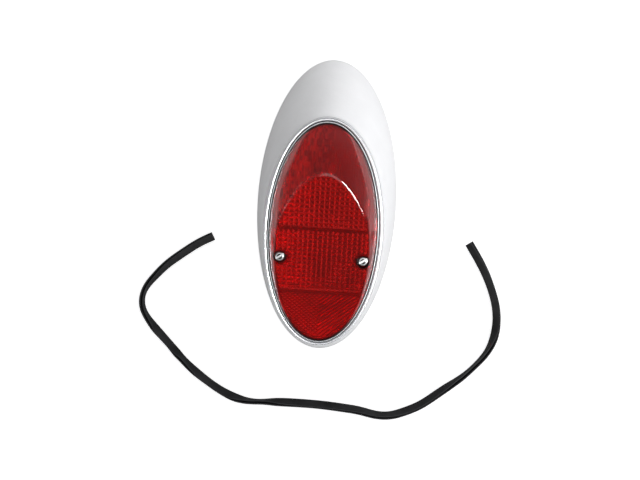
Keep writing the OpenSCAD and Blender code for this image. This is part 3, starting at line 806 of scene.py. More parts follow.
def make_pod(settings):
    """The pressed shell with its holes for the lens nuts and the rivets through the lip."""
    pod = Skin().add(pod_rows(full_turn(256)), round_rows=True).piece("pod_shell", 40.0)
    rivets = oval(LENS_A, LENS_B, RIVET_OUT, np.radians(RIVET_TURNS))
    places = [(NUT_HOLE_R, LIP_UNDER - 1, LIP_TOP + 1, side * SCREW_U, SCREW_V) for side in (-1, 1)]
    places += [(RIVET_HOLE_R, LIP_UNDER - 1, LIP_TOP + 1, u, v) for u, v in rivets.tolist()]
    cut(pod, hole_tools("pod_holes", places), 40.0)
    material = finish("Pod paint", settings.colour)
    finish_piece(pod, "housing", "pod_paint", material, "housing_shell")


# ---------- ring and gasket ----------


# Sections round the lens, as distances out from its outline and heights: the ring's edge, foot and
# sheet, its bead's foot and power, its groove, its fine lip, its flange, and the rubber seat.
RING_EDGE = 4.9
RING_FOOT = LIP_TOP + 0.05
RING_SHEET = 0.7
BEAD_LOW = -0.9
BEAD_POWER = 2.8
GROOVE_LOW = -1.0
RING_LIP = [
    (1.36, GROOVE_LOW), (1.32, BEAD_LOW), (1.32, 0.6), (1.28, 0.7), (1.22, 0.75), (0.82, 0.75),
    (0.76, 0.7), (0.72, 0.6), (0.72, RING_TOP + 0.1),
]
RING_FLANGE = [(0.72, RING_TOP), (-3, RING_TOP), (-3, RING_FOOT)]
SEAT = [(0.68, RING_TOP), (0.68, 0.6), (0.05, 0.6), (0.05, 0), (-1.5, 0), (-1.5, RING_TOP)]


def round_lens(section, steps):
    """Carries a closed section (out, w) round the lens's outline."""
    section = np.asarray(section, float)
    rows = mouth_row(section[:, :1], section[:, 1:], full_turn(steps))
    return Skin().add(rows, round_rows=True)


def make_ring(settings):
    """A pressed bead with square shoulders and a thin hollow under it, a groove and a fine lip inside
    it, and a flat flange that runs in below the lens's seat. The bead's outline is
    |x|^p + |y|^p = 1. The groove is darkened with painted shade."""
    half, crown = settings.bead / MM / 2, LIP_TOP + settings.bead_height / MM
    middle = RING_EDGE - half
    arch = np.linspace(0, math.pi, 29)
    reach = np.abs(np.cos(arch)) ** (2 / BEAD_POWER) * np.sign(np.cos(arch))
    rise = np.abs(np.sin(arch)) ** (2 / BEAD_POWER)
    outer = np.stack([middle + half * reach, BEAD_LOW + (crown - BEAD_LOW) * rise], -1)
    thin, hollow = half - RING_SHEET, crown - RING_SHEET - RING_FOOT
    under = np.stack([middle - thin * reach, RING_FOOT + hollow * rise], -1)
    lip = [(middle - half - 0.1, GROOVE_LOW)] + RING_LIP
    flange = rounded(RING_FLANGE, 0.2, 3)
    section = np.concatenate([[(RING_EDGE, RING_FOOT)], outer, lip, flange, under])
    ring = round_lens(section, 320).piece("trim_bead", 35.0)
    # Painted shade darkens the groove's floor.
    paint_shading(ring, lambda u, v, w: (w < BEAD_LOW + 0.05) & (w > GROOVE_LOW - 0.05), 1.0)
    finish_piece(ring, "trim", "trim_chrome", finish("Ring plating"), "trim_ring")


def make_gasket():
    """A moulded rubber seat: a flat foot under the lens and a low bead round its edge."""
    gasket = round_lens(rounded(SEAT, 0.2, 4), 256).piece("lens_seat", 50.0)
    finish_piece(gasket, "trim", "gasket_rubber", finish("Gasket rubber"), "lens_gasket")


# ---------- lens ----------


# Height and slope of the face's two parts, the crown's slope and its bows, and how far from a crease
# its rounding starts.
FACE = (12.0, 0.14)
FACE_FOOT = (9.0, 0.1)
CROWN_SLOPE = 0.2
CROWN_BOWS = (0.0115, 0.0108)
CREASE = 1.3


def lens_face(v):
    """The flat face falls towards the foot, a little less steeply near its end."""
    return np.maximum(FACE[0] + FACE[1] * v, FACE_FOOT[0] + FACE_FOOT[1] * v)


def lens_crown(u, v):
    """The crown falls away above the arch and is bowed both ways: face(arch) - slope * (v - arch)
    - bow * above^2 - bow * u^2, where above is how far v is above the arch."""
    above = np.maximum(v - ARCH_TOP, 0)
    falls = CROWN_BOWS[0] * above**2
    return lens_face(ARCH_TOP) - CROWN_SLOPE * (v - ARCH_TOP) - falls - CROWN_BOWS[1] * u**2


def lens_top(u, v):
    """The lower of the face and the crown, with a sharp crease."""
    return np.minimum(lens_face(v), lens_crown(u, v))


def lens_side(u, v, inset=0.0):
    """The drafted side rises from the outline: edge + slope * distance inside the outline."""
    return LENS_EDGE + LENS_SLOPE * (oval_inset(u, v, LENS_A, LENS_B) - inset)


def lens_outside(u, v):
    """Height of the lens's outside: the lowest of the flat face, the bowed crown and the drafted
    side, each meeting the next on a small radius."""
    top = smooth_least(lens_face(v), lens_crown(u, v), CREASE)
    return np.maximum(smooth_least(top, lens_side(u, v), CREASE), THIN_EDGE)


def from_screw(u, v):
    """Distance of points from the middle of the nearer screw."""
    return np.hypot(np.abs(u) - SCREW_U, v - SCREW_V)


def lens_inside(u, v, dent):
    """Height of the lens's inside: a wall under the outside, with the prisms' dents cut up into it,
    and down to the foot inside each screw's boss."""
    top = np.maximum(lens_top(u, v) - LENS_WALL, 0) + dent
    least = lens_outside(u, v) - LEAST_WALL
    height = np.maximum(np.minimum(np.minimum(top, lens_side(u, v, LENS_WALL)), least), 0)
    return np.where(from_screw(u, v) < BOSS_R, 0.0, height)


def halved(wanted, low, high, passes=40):
    """Where wanted(x) goes from true to false between low and high, by halving."""
    for _ in range(passes):
        middle = (low + high) / 2
        inside = wanted(middle)
        low, high = np.where(inside, middle, low), np.where(inside, high, middle)
    return (low + high) / 2


# Kinds of pattern on the lens's inside, the cells down each part of the waffle, and the reflex
# prisms' step.
FLUTES, WAFFLE, RIB, REFLEX = range(4)
UPPER_CELLS = 12
LOWER_CELLS = 14
REFLEX_STEP = 0.75

# Points this near a boss's circle move to this gap inside or outside it.
SNAP_REACH = 0.62
SNAP_GAP = 0.04


def inner_edge(turn):
    """Outline of the lens's inside."""
    return oval(LENS_A, LENS_B, -LENS_WALL, turn)


def lens_row_places():
    """Places v of the inside's rows, from the top down, the kind of pattern that each has, and how
    many cells of the waffle it is from the waffle's top. Rows follow quarter cells in the waffle and
    crowd together at the two ends, where they follow even turns."""
    ribs = [np.array([middle + RIB_HALF, middle - RIB_HALF]) for middle in (UPPER_RIB, LOWER_RIB)]
    drafts = [rib + (-RIB_DRAFT, RIB_DRAFT) for rib in ribs]
    top = inner_edge(np.radians(np.concatenate([[0, 1.5], np.arange(4, 35, 2.5)])))[:, 1]
    bottom = inner_edge(np.radians(180 - np.concatenate([np.arange(20, 1, -2.5), [1.5, 0]])))[:, 1]
    crown = np.linspace(top[-1], ARCH_TOP, 16)[1:-1]
    upper = np.linspace(ARCH_TOP, ribs[0][0], 4 * UPPER_CELLS + 1)
    lower = np.linspace(ribs[0][1], ribs[1][0], 4 * LOWER_CELLS + 1)
    reflex_steps = int((ribs[1][1] - bottom[0]) / REFLEX_STEP)
    reflex = np.linspace(ribs[1][1], bottom[0], reflex_steps)[:-1]
    parts = [
        (top, FLUTES), (crown, FLUTES), (upper, WAFFLE), (drafts[0], RIB), (lower, WAFFLE),
        (drafts[1], RIB), (reflex, REFLEX), (bottom, REFLEX),
    ]
    v = np.concatenate([part for part, _ in parts])
    kind = np.concatenate([np.full(len(part), number) for part, number in parts])
    is_waffle = [number == WAFFLE for _, number in parts]
    cell = np.concatenate([np.arange(len(part)) / 4 * on for (part, _), on in zip(parts, is_waffle)])
    return v, kind, cell


def snap_to_boss(u, v, movable):
    """Moves points that are near a boss's circle onto it, so that the boss is round."""
    side = np.where(u < 0, -1.0, 1.0)
    du, dv = u - side * SCREW_U, v - SCREW_V
    away = np.maximum(np.hypot(du, dv), 1e-6)
    near = movable & (np.abs(away - BOSS_R) < SNAP_REACH)
    wanted = np.where(away < BOSS_R, BOSS_R - SNAP_GAP, BOSS_R + SNAP_GAP)
    share = np.where(near, wanted / away, 1.0)
    return side * SCREW_U + du * share, SCREW_V + dv * share


def lens_inner_grid(settings):
    """Points of the lens's inside, the way to split each face, the turn of each row's ends, and the
    painted shade. Over cells of the pitch, the waffle is pyramids least(saw(u), saw(v)), the flutes are
    saw(2 u), and the reflex prisms are ridges saw(u + v), cut down by saw(u - v) on the left. Each
    dent is its depth times its pattern."""
    pitch = settings.pitch / MM
    v_row, kind, cell = lens_row_places()
    ends = np.zeros(len(v_row)), np.full(len(v_row), math.pi)
    turn = halved(lambda t: inner_edge(t)[:, 1] > v_row, *ends)
    half = np.abs(inner_edge(turn)[:, :1])
    half[[0, -1]] = 0
    count = int(LENS_A / (pitch / 4)) + 1
    k = np.arange(-count, count + 1)[None]
    rows = np.arange(len(v_row))[:, None]
    wanted = k * pitch / 4
    u = np.clip(wanted, -half, half)
    v = np.broadcast_to(v_row[:, None], u.shape)
    movable = np.abs(wanted) < half - 0.3
    waffle = np.minimum(saw(u / pitch), saw(cell[:, None]))
    one_way, other_way = saw((k + rows) / 4), saw((k - rows) / 4)
    reflex = np.where(k < 0, np.minimum(one_way, other_way), one_way)
    in_crown = lens_crown(u, v) < lens_face(v)
    kinds = np.broadcast_to(kind[:, None], u.shape)
    dents = [
        settings.flute_depth / MM * saw(2 * u / pitch), settings.waffle_depth / MM * waffle,
        settings.reflex_depth / MM * reflex,
    ]
    dent = np.select([in_crown, kinds == WAFFLE, kinds == REFLEX], dents, 0.0)
    dent = np.where(np.abs(wanted) < half, dent, 0.0)
    u, v = snap_to_boss(u, v, movable)
    w = lens_inside(u, v, dent)
    w = np.where(kinds == RIB, np.minimum(w, RIB_FOOT), w)
    quarter = (k % 4 < 2)[:, :-1] ^ ((cell * 4).astype(int) % 4 < 2)[:-1, None]
    leaning = np.where(k[:, :-1] < 0, (k[:, :-1] + rows[:-1]) % 2 == 0, True)
    second_way = np.where(kinds[:-1, :-1] == REFLEX, leaning, quarter)
    # Painted shade for the waffle, flutes, reflex prisms, ribs and the right side.
    painted_shading = lens_painted_shading(u, v, kind, in_crown, waffle, reflex, settings.deeper)
    return np.stack([u, v, w], axis=-1), second_way, turn, painted_shading


def lens_painted_shading(u, v, kind, in_crown, waffle, reflex, deeper):
    """Painted light and shade at each point, standing in for what the prisms and ribs show. The waffle
    has 2.4 * pattern, less at the left, the reflex prisms 1.5 * (1 - pattern)^2, and the crown painted
    streaks of random^2 that grow to the right. A rib has the most, and the rows beside it 0.35 less
    for each row away. All is painted darker at the right."""
    kinds = np.broadcast_to(kind[:, None], u.shape)
    short = np.random.default_rng(11).random((len(kind) // 3 + 1, u.shape[1]))
    streaks = np.repeat(short, 3, axis=0)[:len(kind)] ** 2 + np.clip((u - 2) / 20, 0, 0.8)
    off_left = np.clip((u + 20) / 16, 0, 1)
    cells = 2.4 * waffle * (0.3 + 0.7 * off_left) + np.where(v > UPPER_RIB, 0.1 * off_left, 0.0)
    painted_shading = np.select(
        [in_crown, kinds == WAFFLE, kinds == RIB, kinds == REFLEX],
        [0.46 + 1.1 * streaks, cells, 1.4, 1.5 * (1 - reflex) ** 2], 0.0,
    )
    from_rib = np.abs(np.arange(len(kind))[:, None] - np.flatnonzero(kind == RIB)[None]).min(axis=1)
    painted_shading = np.maximum(painted_shading, 1.5 - 0.35 * from_rib[:, None])
    return painted_shading + deeper * np.where(kinds == REFLEX, 0.25, off_left)


# The painted shade of the recesses and of the outline, and how far in from the outline it fades.
DARK = 1.6
FOOT_WIDTH = 1.3

# The point that the outside's rays leave from, and the steps of their rows from the arch's crease and
# from the side's, in millimetres.
RAY_CENTRE = np.array([0.0, -6.0])
ARCH_STEPS = np.array([-2.4, -1.7, -1.2, -0.85, -0.5, -0.2, 0.1, 0.4, 0.75, 1.1, 1.6, 2.4])[:, None]
SIDE_STEPS = np.array([-1.3, -0.62, -0.4, -0.24, -0.1, 0.02, 0.14, 0.3, 0.5])[:, None]


def lens_outer_grid(loop):
    """Points of the lens's outside on rays centre + q * (edge - centre), one for each turn of the
    loop. Rows crowd round the two creases, whose places q on each ray are found by halving."""
    ray = oval(LENS_A, LENS_B, 0.0, loop) - RAY_CENTRE
    reach = np.linalg.norm(ray, axis=1)

    def at(q):
        return np.moveaxis(RAY_CENTRE + q[..., None] * ray, -1, 0)

    def under_side(q):
        return lens_top(*at(q)) < lens_side(*at(q))

    def under_arch(q):
        u, v = at(q)
        return lens_face(v) < lens_crown(u, v)

    zero, one = np.zeros(len(loop)), np.ones(len(loop))
    q_side = halved(under_side, zero, one)
    q_arch = np.minimum(halved(under_arch, zero, q_side), q_side)
    face = np.linspace(0, 0.93, 12)[:, None] * q_arch
    crown = q_arch + np.linspace(0.15, 0.85, 9)[:, None] * (q_side - q_arch)
    side = q_side + np.array([0.35, 0.6, 0.8, 0.9, 1.0])[:, None] * (1 - q_side)
    q = np.concatenate([face, crown, side, q_arch + ARCH_STEPS / reach, q_side + SIDE_STEPS / reach])
    q = np.sort(np.clip(q, 0, 1), axis=0)
    q[-1] = 1
    u, v = at(q)
    return np.stack([u, v, lens_outside(u, v)], axis=-1)


def make_lens(settings):
    """The lens: its outside, its inside and the foot between them, less the screws' recesses. Painted
    shade darkens the recesses and the foot."""
    inner, second_way, turn, painted_shading = lens_inner_grid(settings)
    loop = np.concatenate([turn, 2 * math.pi - turn[-2:0:-1]])
    loop[0] = 0
    inner_loop = np.concatenate([inner[:, -1], inner[-2:0:-1, 0]])
    foot_loop = inner_loop * np.array([1, 1, 0])
    outline = at_height(oval(LENS_A, LENS_B, 0.0, loop), 0.0)
    outer = lens_outer_grid(loop)
    skin = Skin()
    skin.add(from_mouth(inner), round_columns=False, second_way=second_way, painted_shading=painted_shading)
    skin.add(from_mouth(np.stack([inner_loop, foot_loop, outline, outer[-1]])))
    inset = oval_inset(outer[..., 0], outer[..., 1], LENS_A, LENS_B)
    # Painted shadow darkens the outside round the outline.
    skin.add(from_mouth(outer), painted_shading=DARK * np.clip(FOOT_WIDTH - inset, 0, 1))
    lens = skin.piece("red_lens", 20.0)
    profile = [
        (0, -1), (SCREW_HOLE_R, -1), (SCREW_HOLE_R, RECESS_FLOOR), (RECESS_R - 0.25, RECESS_FLOOR),
        (RECESS_R, RECESS_FLOOR + 0.4), (RECESS_R + 0.1, 20), (0, 20),
    ]
    tool = Skin()
    for side in (-1, 1):
        tool.turn(profile, 48, (side * SCREW_U, SCREW_V))
    cut(lens, tool.piece("recesses"), 20.0)
    # Painted shade darkens the recesses.
    paint_shading(lens, lambda u, v, w: (from_screw(u, v) < RECESS_R + 0.3) & (w > RECESS_FLOOR - 0.1), DARK)
    material = lens_red(settings.colour, settings.valley_shade)
    finish_piece(lens, "lens_body", "lens_red", material, "lens")


# ---------- screws ----------


# Half outline of the screw's head, the top of its shank, its tip, and its thread.
SCREW_HEAD = [
    (0, 7.4), (0.6, 7.4), (1.2, 7.4), (1.7, 7.4), (2.1, 7.4), (2.45, 7.39), (3.1, 7.36), (3.35, 7.24),
    (3.52, 7.06), (3.63, 6.8), (3.68, 6.4), (3.7, 5.9), (3.7, 5.02), (3.62, 4.84), (3.5, 4.8),
    (2.1, 4.8), (1.95, 4.65),
]
SHANK_TOP = 4.3
SCREW_TIP = -9.6
THREAD_START = 3.2
THREAD_CREST = 1.95
THREAD_DEPTH = 0.36
THREAD_PITCH = 0.7


def screw_skin(side):
    """A pan head on a threaded shank. The thread is radius r - depth * (1 - saw(w / pitch - t)), so
    its crest climbs one pitch each turn t. It fades out under the head and at the pointed tip."""
    steps = 48
    centre = (side * SCREW_U, SCREW_V)
    w = np.linspace(SHANK_TOP, SCREW_TIP, 8 * 20 + 1)[:, None]
    turn = full_turn(steps)
    cut_in = THREAD_DEPTH * (1 - saw(w / THREAD_PITCH - turn / (2 * math.pi)))
    fade = np.clip((THREAD_START - w) / 0.8, 0, 1) * np.clip((w - SCREW_TIP) / 0.5, 0, 1)
    radius = np.minimum(THREAD_CREST - cut_in * fade, 1.4 + (w - SCREW_TIP) * 0.9)
    flat = np.asarray(centre) + radius[..., None] * np.stack([np.sin(turn), np.cos(turn)], axis=-1)
    tip = np.broadcast_to(np.array([*centre, SCREW_TIP]), (1, steps, 3))
    rows = np.concatenate([turned(SCREW_HEAD, steps, centre), at_height(flat, w), tip])
    return Skin().add(from_mouth(rows))


def slot_tool(side, angle, width, depth):
    """A flat-bottomed bar across the head: the box 2 * SLOT_REACH by width, above the slot's floor."""
    x, y = SLOT_REACH, width / 2
    c, s = math.cos(angle), math.sin(angle)
    corners = np.array([(-x, -y), (x, -y), (x, y), (-x, y)]) @ np.array([(c, s), (-s, c)])
    flat = corners + (side * SCREW_U, SCREW_V)
    low, high = at_height(flat, HEAD_TOP - depth), at_height(flat, HEAD_TOP + 1.6)
    return Skin().add(from_mouth(capped(np.stack([low, high])))).piece("slot_bar")


def beside_slot(u, v, w, settings):
    """True on the flats on both sides of the slot, away from the head's rim."""
    off_slot = np.abs(v * math.cos(settings.slot_angle) - u * math.sin(settings.slot_angle))
    edge = settings.slot_width / MM / 2
    return (w > HEAD_TOP - 0.02) & (off_slot > edge - 0.05) & (np.hypot(u, v) < 2.3)


def make_screws(settings):
    """The two slotted screws, with painted shade on the flats of their heads beside the slots."""
    plating = finish("Screw plating")
    for side, name in ((-1, "left"), (1, "right")):
        screw = screw_skin(side).piece(f"{name}_screw", 35.0)
        cut(screw, slot_tool(side, settings.slot_angle, settings.slot_width / MM, SLOT_DEPTH), 35.0)
        # Painted shade darkens the flats beside the slot.
        paint_shading(screw, lambda u, v, w: beside_slot(u - side * SCREW_U, v - SCREW_V, w, settings), 1.0)
        finish_piece(screw, f"{name}_screw", "screw_steel", plating, f"{name}_lens_screw")
    dress(["left_washer", "right_washer"], finish("Washer fibre"))


# ---------- bulbs and springs ----------


# The envelope's radius and wall, its top, its neck's radius and height, and the swell between them.
GLASS_R = 12.5
GLASS_WALL = 0.7
GLASS_TOP = 5.0
NECK_R = 7.0
NECK_W = -19.0
NECK_SWELL = 5.5


def glass_profile(drop, low):
    """Half outline of the bulb's envelope, drop inside its outside: a neck, a swell (1 - cos) and a
    round end."""
    radius, neck, middle = GLASS_R - drop, NECK_R - drop, GLASS_TOP - GLASS_R
    rise = np.linspace(0, 1, 22)
    swell = neck + NECK_SWELL * (1 - np.cos(math.pi * rise)) / 2
    ends = np.radians(np.linspace(0, 90, 20))[1:-1]
    cap = np.stack([radius * np.cos(ends), middle + radius * np.sin(ends)], axis=-1)
    base = np.array([(0, low), (neck - 0.8, low), (neck, low + 0.8)])
    side = np.stack([swell, NECK_W + (middle - NECK_W) * rise], -1)
    return np.concatenate([base, side, cap, [(0, GLASS_TOP - drop)]])


def make_bulbs():
    """The hollow glass of each bulb, over the cap, insulator and contacts that the frame has."""
    clear = bulb_glass()
    for name, v in BULB_V.items():
        skin = Skin().turn(glass_profile(0.0, CONTACT_W + 4.5), 72, (0, v))
        skin.turn(glass_profile(GLASS_WALL, CONTACT_W + 5.5), 72, (0, v), inner=True)
        glass = skin.piece(f"{name}_envelope", 40.0)
        finish_piece(glass, f"{name}_bulb", "bulb_glass", clear, f"{name}_bulb_glass")
        dress([f"{name}_bulb_cap"], finish("Cap plating"))
        dress([f"{name}_bulb_insulator"], finish("Black glass"))
    dress(["upper_bulb_contact", "lower_bulb_contacts"], finish("Solder"))


# The support wires' radius, and the coil's radius, wire and turns.
POST_R = 0.3
COIL_R = 0.42
COIL_WIRE = 0.12
COIL_TURNS = 13


def filament_skin(skin, v, height, half_span, turned_by):
    """Two support wires that lean together at the foot, and a coil across their tops:
    COIL_R (cos t, sin t) about a line from one wire to the other."""
    c, s = math.cos(turned_by), math.sin(turned_by)
    way = np.array([(c, s, 0), (-s, c, 0), (0, 0, 1)])
    middle = np.array([0, v, 0])
    low = CONTACT_W + 5.6
    rise = np.linspace(0, 1, 14)
    lean = half_span * (0.55 + 0.45 * np.sin(rise * math.pi / 2))
    for side in (-1, 1):
        post = np.stack([side * lean, 0 * rise, low + (height - low) * rise], -1)
        skin.add(from_mouth(round_wire(post, POST_R, 10, (0, 1, 0)) @ way + middle))
    t = np.linspace(0, 1, 260)
    coil_turn = t * 2 * math.pi * COIL_TURNS
    run = (half_span + 0.4) * (2 * t - 1)
    coil = np.stack([run, COIL_R * np.cos(coil_turn), height + COIL_R * np.sin(coil_turn)], -1)
    skin.add(from_mouth(round_wire(coil, COIL_WIRE, 6, (1, 0, 0)) @ way + middle))


# Each piece of filaments: its name, the bulb's and the node's, then height over the contacts, half
# the span and turn of each filament.
FILAMENTS = [
    ("upper_filament", "upper", "upper_bulb_filament", [(31.8, 3.2, 0.0)]),
    ("lower_filaments", "lower", "lower_bulb_filaments", [(31.8, 3.2, 0.0), (28.0, 2.6, math.pi / 2)]),
]


def make_filaments():
    """One filament in the upper bulb and two that cross in the lower."""
    for name, bulb, node, filaments in FILAMENTS:
        skin = Skin()
        for height, half_span, turned_by in filaments:
            filament_skin(skin, BULB_V[bulb], CONTACT_W + height, half_span, turned_by)
        wire = skin.piece(name, 60.0)
        finish_piece(wire, f"{bulb}_bulb", "filament_steel", finish("Filament wire"), node)


# The socket springs' radius, and the radius of their wire.
SPRING_R = 5.15
SPRING_WIRE = 0.45


def make_springs(settings):
    """An open coil with flattened end turns: (r cos t, r sin t, low + (high - low) * ease(t))."""
    t = np.linspace(0, 1, 200)
    ease = np.clip((t - 0.08) / 0.84, 0, 1)
    turn = 2 * math.pi * settings.turns * t
    low, high = SPRING_LOW + SPRING_WIRE + 0.02, SPRING_HIGH - SPRING_WIRE - 0.02
    for name, v in BULB_V.items():
        round_v = v + SPRING_R * np.sin(turn)
        path = np.stack([SPRING_R * np.cos(turn), round_v, low + (high - low) * ease], -1)
        spring = Skin().add(from_mouth(round_wire(path, SPRING_WIRE, 12, (0, 0, 1))))
        piece = spring.piece(f"{name}_spring", 60.0)
        finish_piece(piece, "housing", "spring_steel", finish("Spring wire"), f"{name}_socket_spring")
        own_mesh(piece)


# ---------- seal strip ----------

# Middle line of the strip on the surface, from its left end round to its right end, in millimetres.
STRIP_ROUTE = [
    (-92, -33), (-103, -39), (-113, -46), (-122, -53), (-130, -60), (-138, -69), (-144, -77),
    (-147.5, -87), (-146, -97), (-141, -105), (-134, -113), (-125, -122), (-115, -132),
    (-104, -142), (-92, -151), (-79, -159), (-66, -164.5), (-52, -167), (-38, -166.5),
    (-22, -166), (-6, -166), (10, -166.5), (24, -167.5), (38, -169), (52, -171.5), (63, -171),
    (75, -167), (87, -161), (98, -153), (109, -144.5), (120, -136), (131, -125), (139, -114.5),
    (144, -102), (145.5, -89), (144, -76), (139.5, -62), (134, -50), (127, -38), (119, -26),
]

# How far the strip has rolled over, in degrees, at shares of its length.
STRIP_ROLL = [
    (0.0, 28), (0.06, 34), (0.11, 60), (0.15, 86), (0.19, 74), (0.225, 12), (0.25, 4), (0.272, 66),
    (0.30, 40), (0.325, 4), (0.36, 10), (0.40, 78), (0.425, 88), (0.455, 36), (0.50, 20), (0.56, 34),
    (0.62, 52), (0.66, 30), (0.725, 40), (0.745, 66), (0.78, 84), (0.82, 70), (0.86, 14), (0.92, 2),
    (0.96, 20), (1.0, 40),
]

# Outline of the rubber: a grooved channel with a thicker back and one rolled lip.
STRIP_SECTION = [
    (-3.3, -1.5), (-2.9, -1.95), (3.25, -1.95), (3.3, -0.8), (0.3, -0.62), (0.3, 0.62), (2.6, 0.75),
    (3.0, 0.95), (3.0, 1.75), (-2.7, 1.95), (-3.3, 1.4),
]

# Rows along the strip, and how many of them its roll is eased over, each way.
STRIP_ROWS = 420
ROLL_EASE = 8


def make_strip():
    """The strip: its rounded section turned by the roll at each point of the route, and set down so
    that its lowest point is on the surface."""
    flat = smooth_curve(STRIP_ROUTE, STRIP_ROWS)
    share = np.linspace(0, 1, len(flat))
    knots = np.array(STRIP_ROLL, float)
    roll = np.radians(np.interp(share, knots[:, 0], knots[:, 1]))
    kernel = np.hanning(2 * ROLL_EASE + 1)
    roll = np.convolve(np.pad(roll, ROLL_EASE, mode="edge"), kernel / kernel.sum(), mode="valid")
    section = rounded(STRIP_SECTION, 0.5, 4)
    c, s = np.cos(roll)[:, None], np.sin(roll)[:, None]
    x = section[:, 0] * c - section[:, 1] * s
    y = section[:, 0] * s + section[:, 1] * c
    lift = -y.min(axis=1)
    rings = swept(at_height(flat, 0.0), np.stack([x, y + lift[:, None]], axis=-1), (0, 0, 1))
    # Painted light on the sides of the section.
    sides = np.clip((np.abs(section[:, 0]) - 2.4) / 0.5, 0, 1)
    strip = Skin().add(capped(rings), painted_shading=sides).piece("rim_seal", 50.0)
    finish_piece(strip, "housing", "seal_rubber", strip_rubber(), "seal_strip")


# ---------- carried CAD nodes ----------


# Nodes of the bulb holder and of the fixings, by their finish.
HOLDER = {
    "Reflector paint": ["bulb_holder_tray", "upper_divider", "lower_divider"],
    "Socket brass": ["upper_socket", "lower_socket"],
    "Board": ["terminal_board", "upper_contact_disc", "lower_contact_disc"],
    "Contact brass": ["terminal_blades", "earth_blade", "upper_contact_pip", "lower_contact_pips"],
}
FIXINGS = {
    "Zinc plated steel": [
        "upper_fixing_bar", "lower_fixing_bar", "fixing_nuts", "tray_rivets", "lens_nuts",
        "small_rivets",
    ],
}


def dress_all(nodes):
    """Puts each finish of a table on its nodes."""
    for name, names in nodes.items():
        dress(names, finish(name))


# ---------- stage ----------

# Light from round about, low down on the left and right, half way up, and overhead.
LEFT_WALL = (0.78, 0.78, 0.76, 1)
RIGHT_WALL = (1.85, 1.87, 1.9, 1)
LEFT_GLOW = (0.26, 0.26, 0.255, 1)
RIGHT_GLOW = (0.75, 0.76, 0.78, 1)
FOOT_GLOW = (0.35, 0.35, 0.36, 1)
ROOF_GLOW = (0.26, 0.26, 0.27, 1)

# Patches of the surround: the way to each, its outer and inner half angle in degrees, and its light.
PATCHES = [
    ((-0.03, -0.42, 0.905), 20, 12, (0.38, 0.38, 0.39, 1)),
    ((-0.41, -0.58, 0.707), 9, 6, (1.0, 1.0, 1.0, 1)),
    ((-0.03, -0.701, 0.713), 15, 7, (0.1, 0.1, 0.1, 1)),
    ((0.5, -0.5, 0.707), 18, 10, (0.12, 0.12, 0.12, 1)),
]


# The camera looks almost straight down: its lean to the right and the foot and its turn in the
# picture's plane, in degrees, and the place that it looks at.
CAMERA_LEAN = (1.68, 1.5)
CAMERA_TURN = 3.59
CAMERA_AIM = Vector((-0.0038, -0.0307, 0))

# Soft lamps, this far out from the mouth: the way to each, its width along x and its depth, its power,
# and the kinds of ray that it shows in.
LAMP_DISTANCE = 1.2
LAMPS = {
    "right_strip": ((0.335, -0.43, 0.84), 0.36, 0.12, 7.0, ("gloss",)),
    "left_strip": ((-0.52, -0.4, 0.755), 0.07, 0.08, 0.06, ("gloss",)),
    "softbox": ((0.05, -0.465, 0.884), 0.3, 0.26, 0.38, ("gloss",)),
    "key": ((0.9, 0.2, 0.35), 0.8, 0.8, 4.0, ("diffuse", "lens")),
    "fill": ((0.45, 0.8, 0.4), 0.8, 0.8, 4.2, ("diffuse", "lens")),
    "left_glow": ((-0.56, -0.3, 0.77), 0.34, 0.34, 13.5, ("lens",)),
    "foot_fill": ((0.5, -0.85, 0.25), 0.8, 0.8, 3.2, ("diffuse",)),
}

FLOOR_HALF = 4.0
FLOOR_DROP = 0.0004


def stand(name, data, target, distance, side, top, back):
    """Stands a camera or a lamp at target + distance * back, facing back along the way."""
    thing = bpy.data.objects.new(name, data)
    bpy.context.scene.collection.objects.link(thing)
    turn = Matrix((side, top, back)).transposed().to_4x4()
    thing.matrix_world = Matrix.Translation(target + back * distance) @ turn
    return thing


def aim_camera(settings):
    """The camera, on its lean and turn."""
    right, foot = (math.sin(math.radians(lean)) for lean in CAMERA_LEAN)
    back = Vector((right, -foot, 1)).normalized()
    turn = math.radians(CAMERA_TURN)
    side = Vector((-math.sin(turn), math.cos(turn), 0)).cross(back).normalized()
    data = bpy.data.cameras.new("camera")
    data.sensor_width, data.lens = 36.0, settings.lens_length
    camera = stand("camera", data, CAMERA_AIM, settings.distance, side, back.cross(side), back)
    bpy.context.scene.camera = camera


def make_floor():
    """A wide pale floor that stays light to the camera."""
    mesh = bpy.data.meshes.new("floor")
    corners = [(-1, -1), (1, -1), (1, 1), (-1, 1)]
    points = [(x * FLOOR_HALF, y * FLOOR_HALF, -FLOOR_DROP) for x, y in corners]
    mesh.from_pydata(points, [], [(0, 1, 2, 3)])
    floor = bpy.data.objects.new("floor", mesh)
    bpy.context.scene.collection.objects.link(floor)
    material, tree, shader = principled("Floor")
    glow = math_node(tree, "MULTIPLY", add_node(tree, "LightPath")["Is Camera Ray"], 0.75)
    feed(
        shader, Base_Color=(0.78, 0.78, 0.78, 1), Roughness=0.9, Emission_Color=(1, 1, 1, 1),
        Emission_Strength=glow,
    )
    mesh.materials.append(material)


def make_lamp(name, way, width, depth, power, shows_in):
    """A soft lamp out from the mouth. It only shows in the kinds of ray that are named."""
    data = bpy.data.lights.new(name, "AREA")
    data.shape = "RECTANGLE"
    data.size, data.size_y, data.energy = width, depth, power
    back = Vector(way).normalized()
    top = back.cross(Vector((1, 0, 0))).normalized()
    lamp = stand(name, data, Vector(MOUTH * MM), LAMP_DISTANCE, top.cross(back), top, back)
    lamp.visible_glossy = "gloss" in shows_in
    lamp.visible_diffuse = "diffuse" in shows_in
    lamp.visible_transmission = "lens" in shows_in


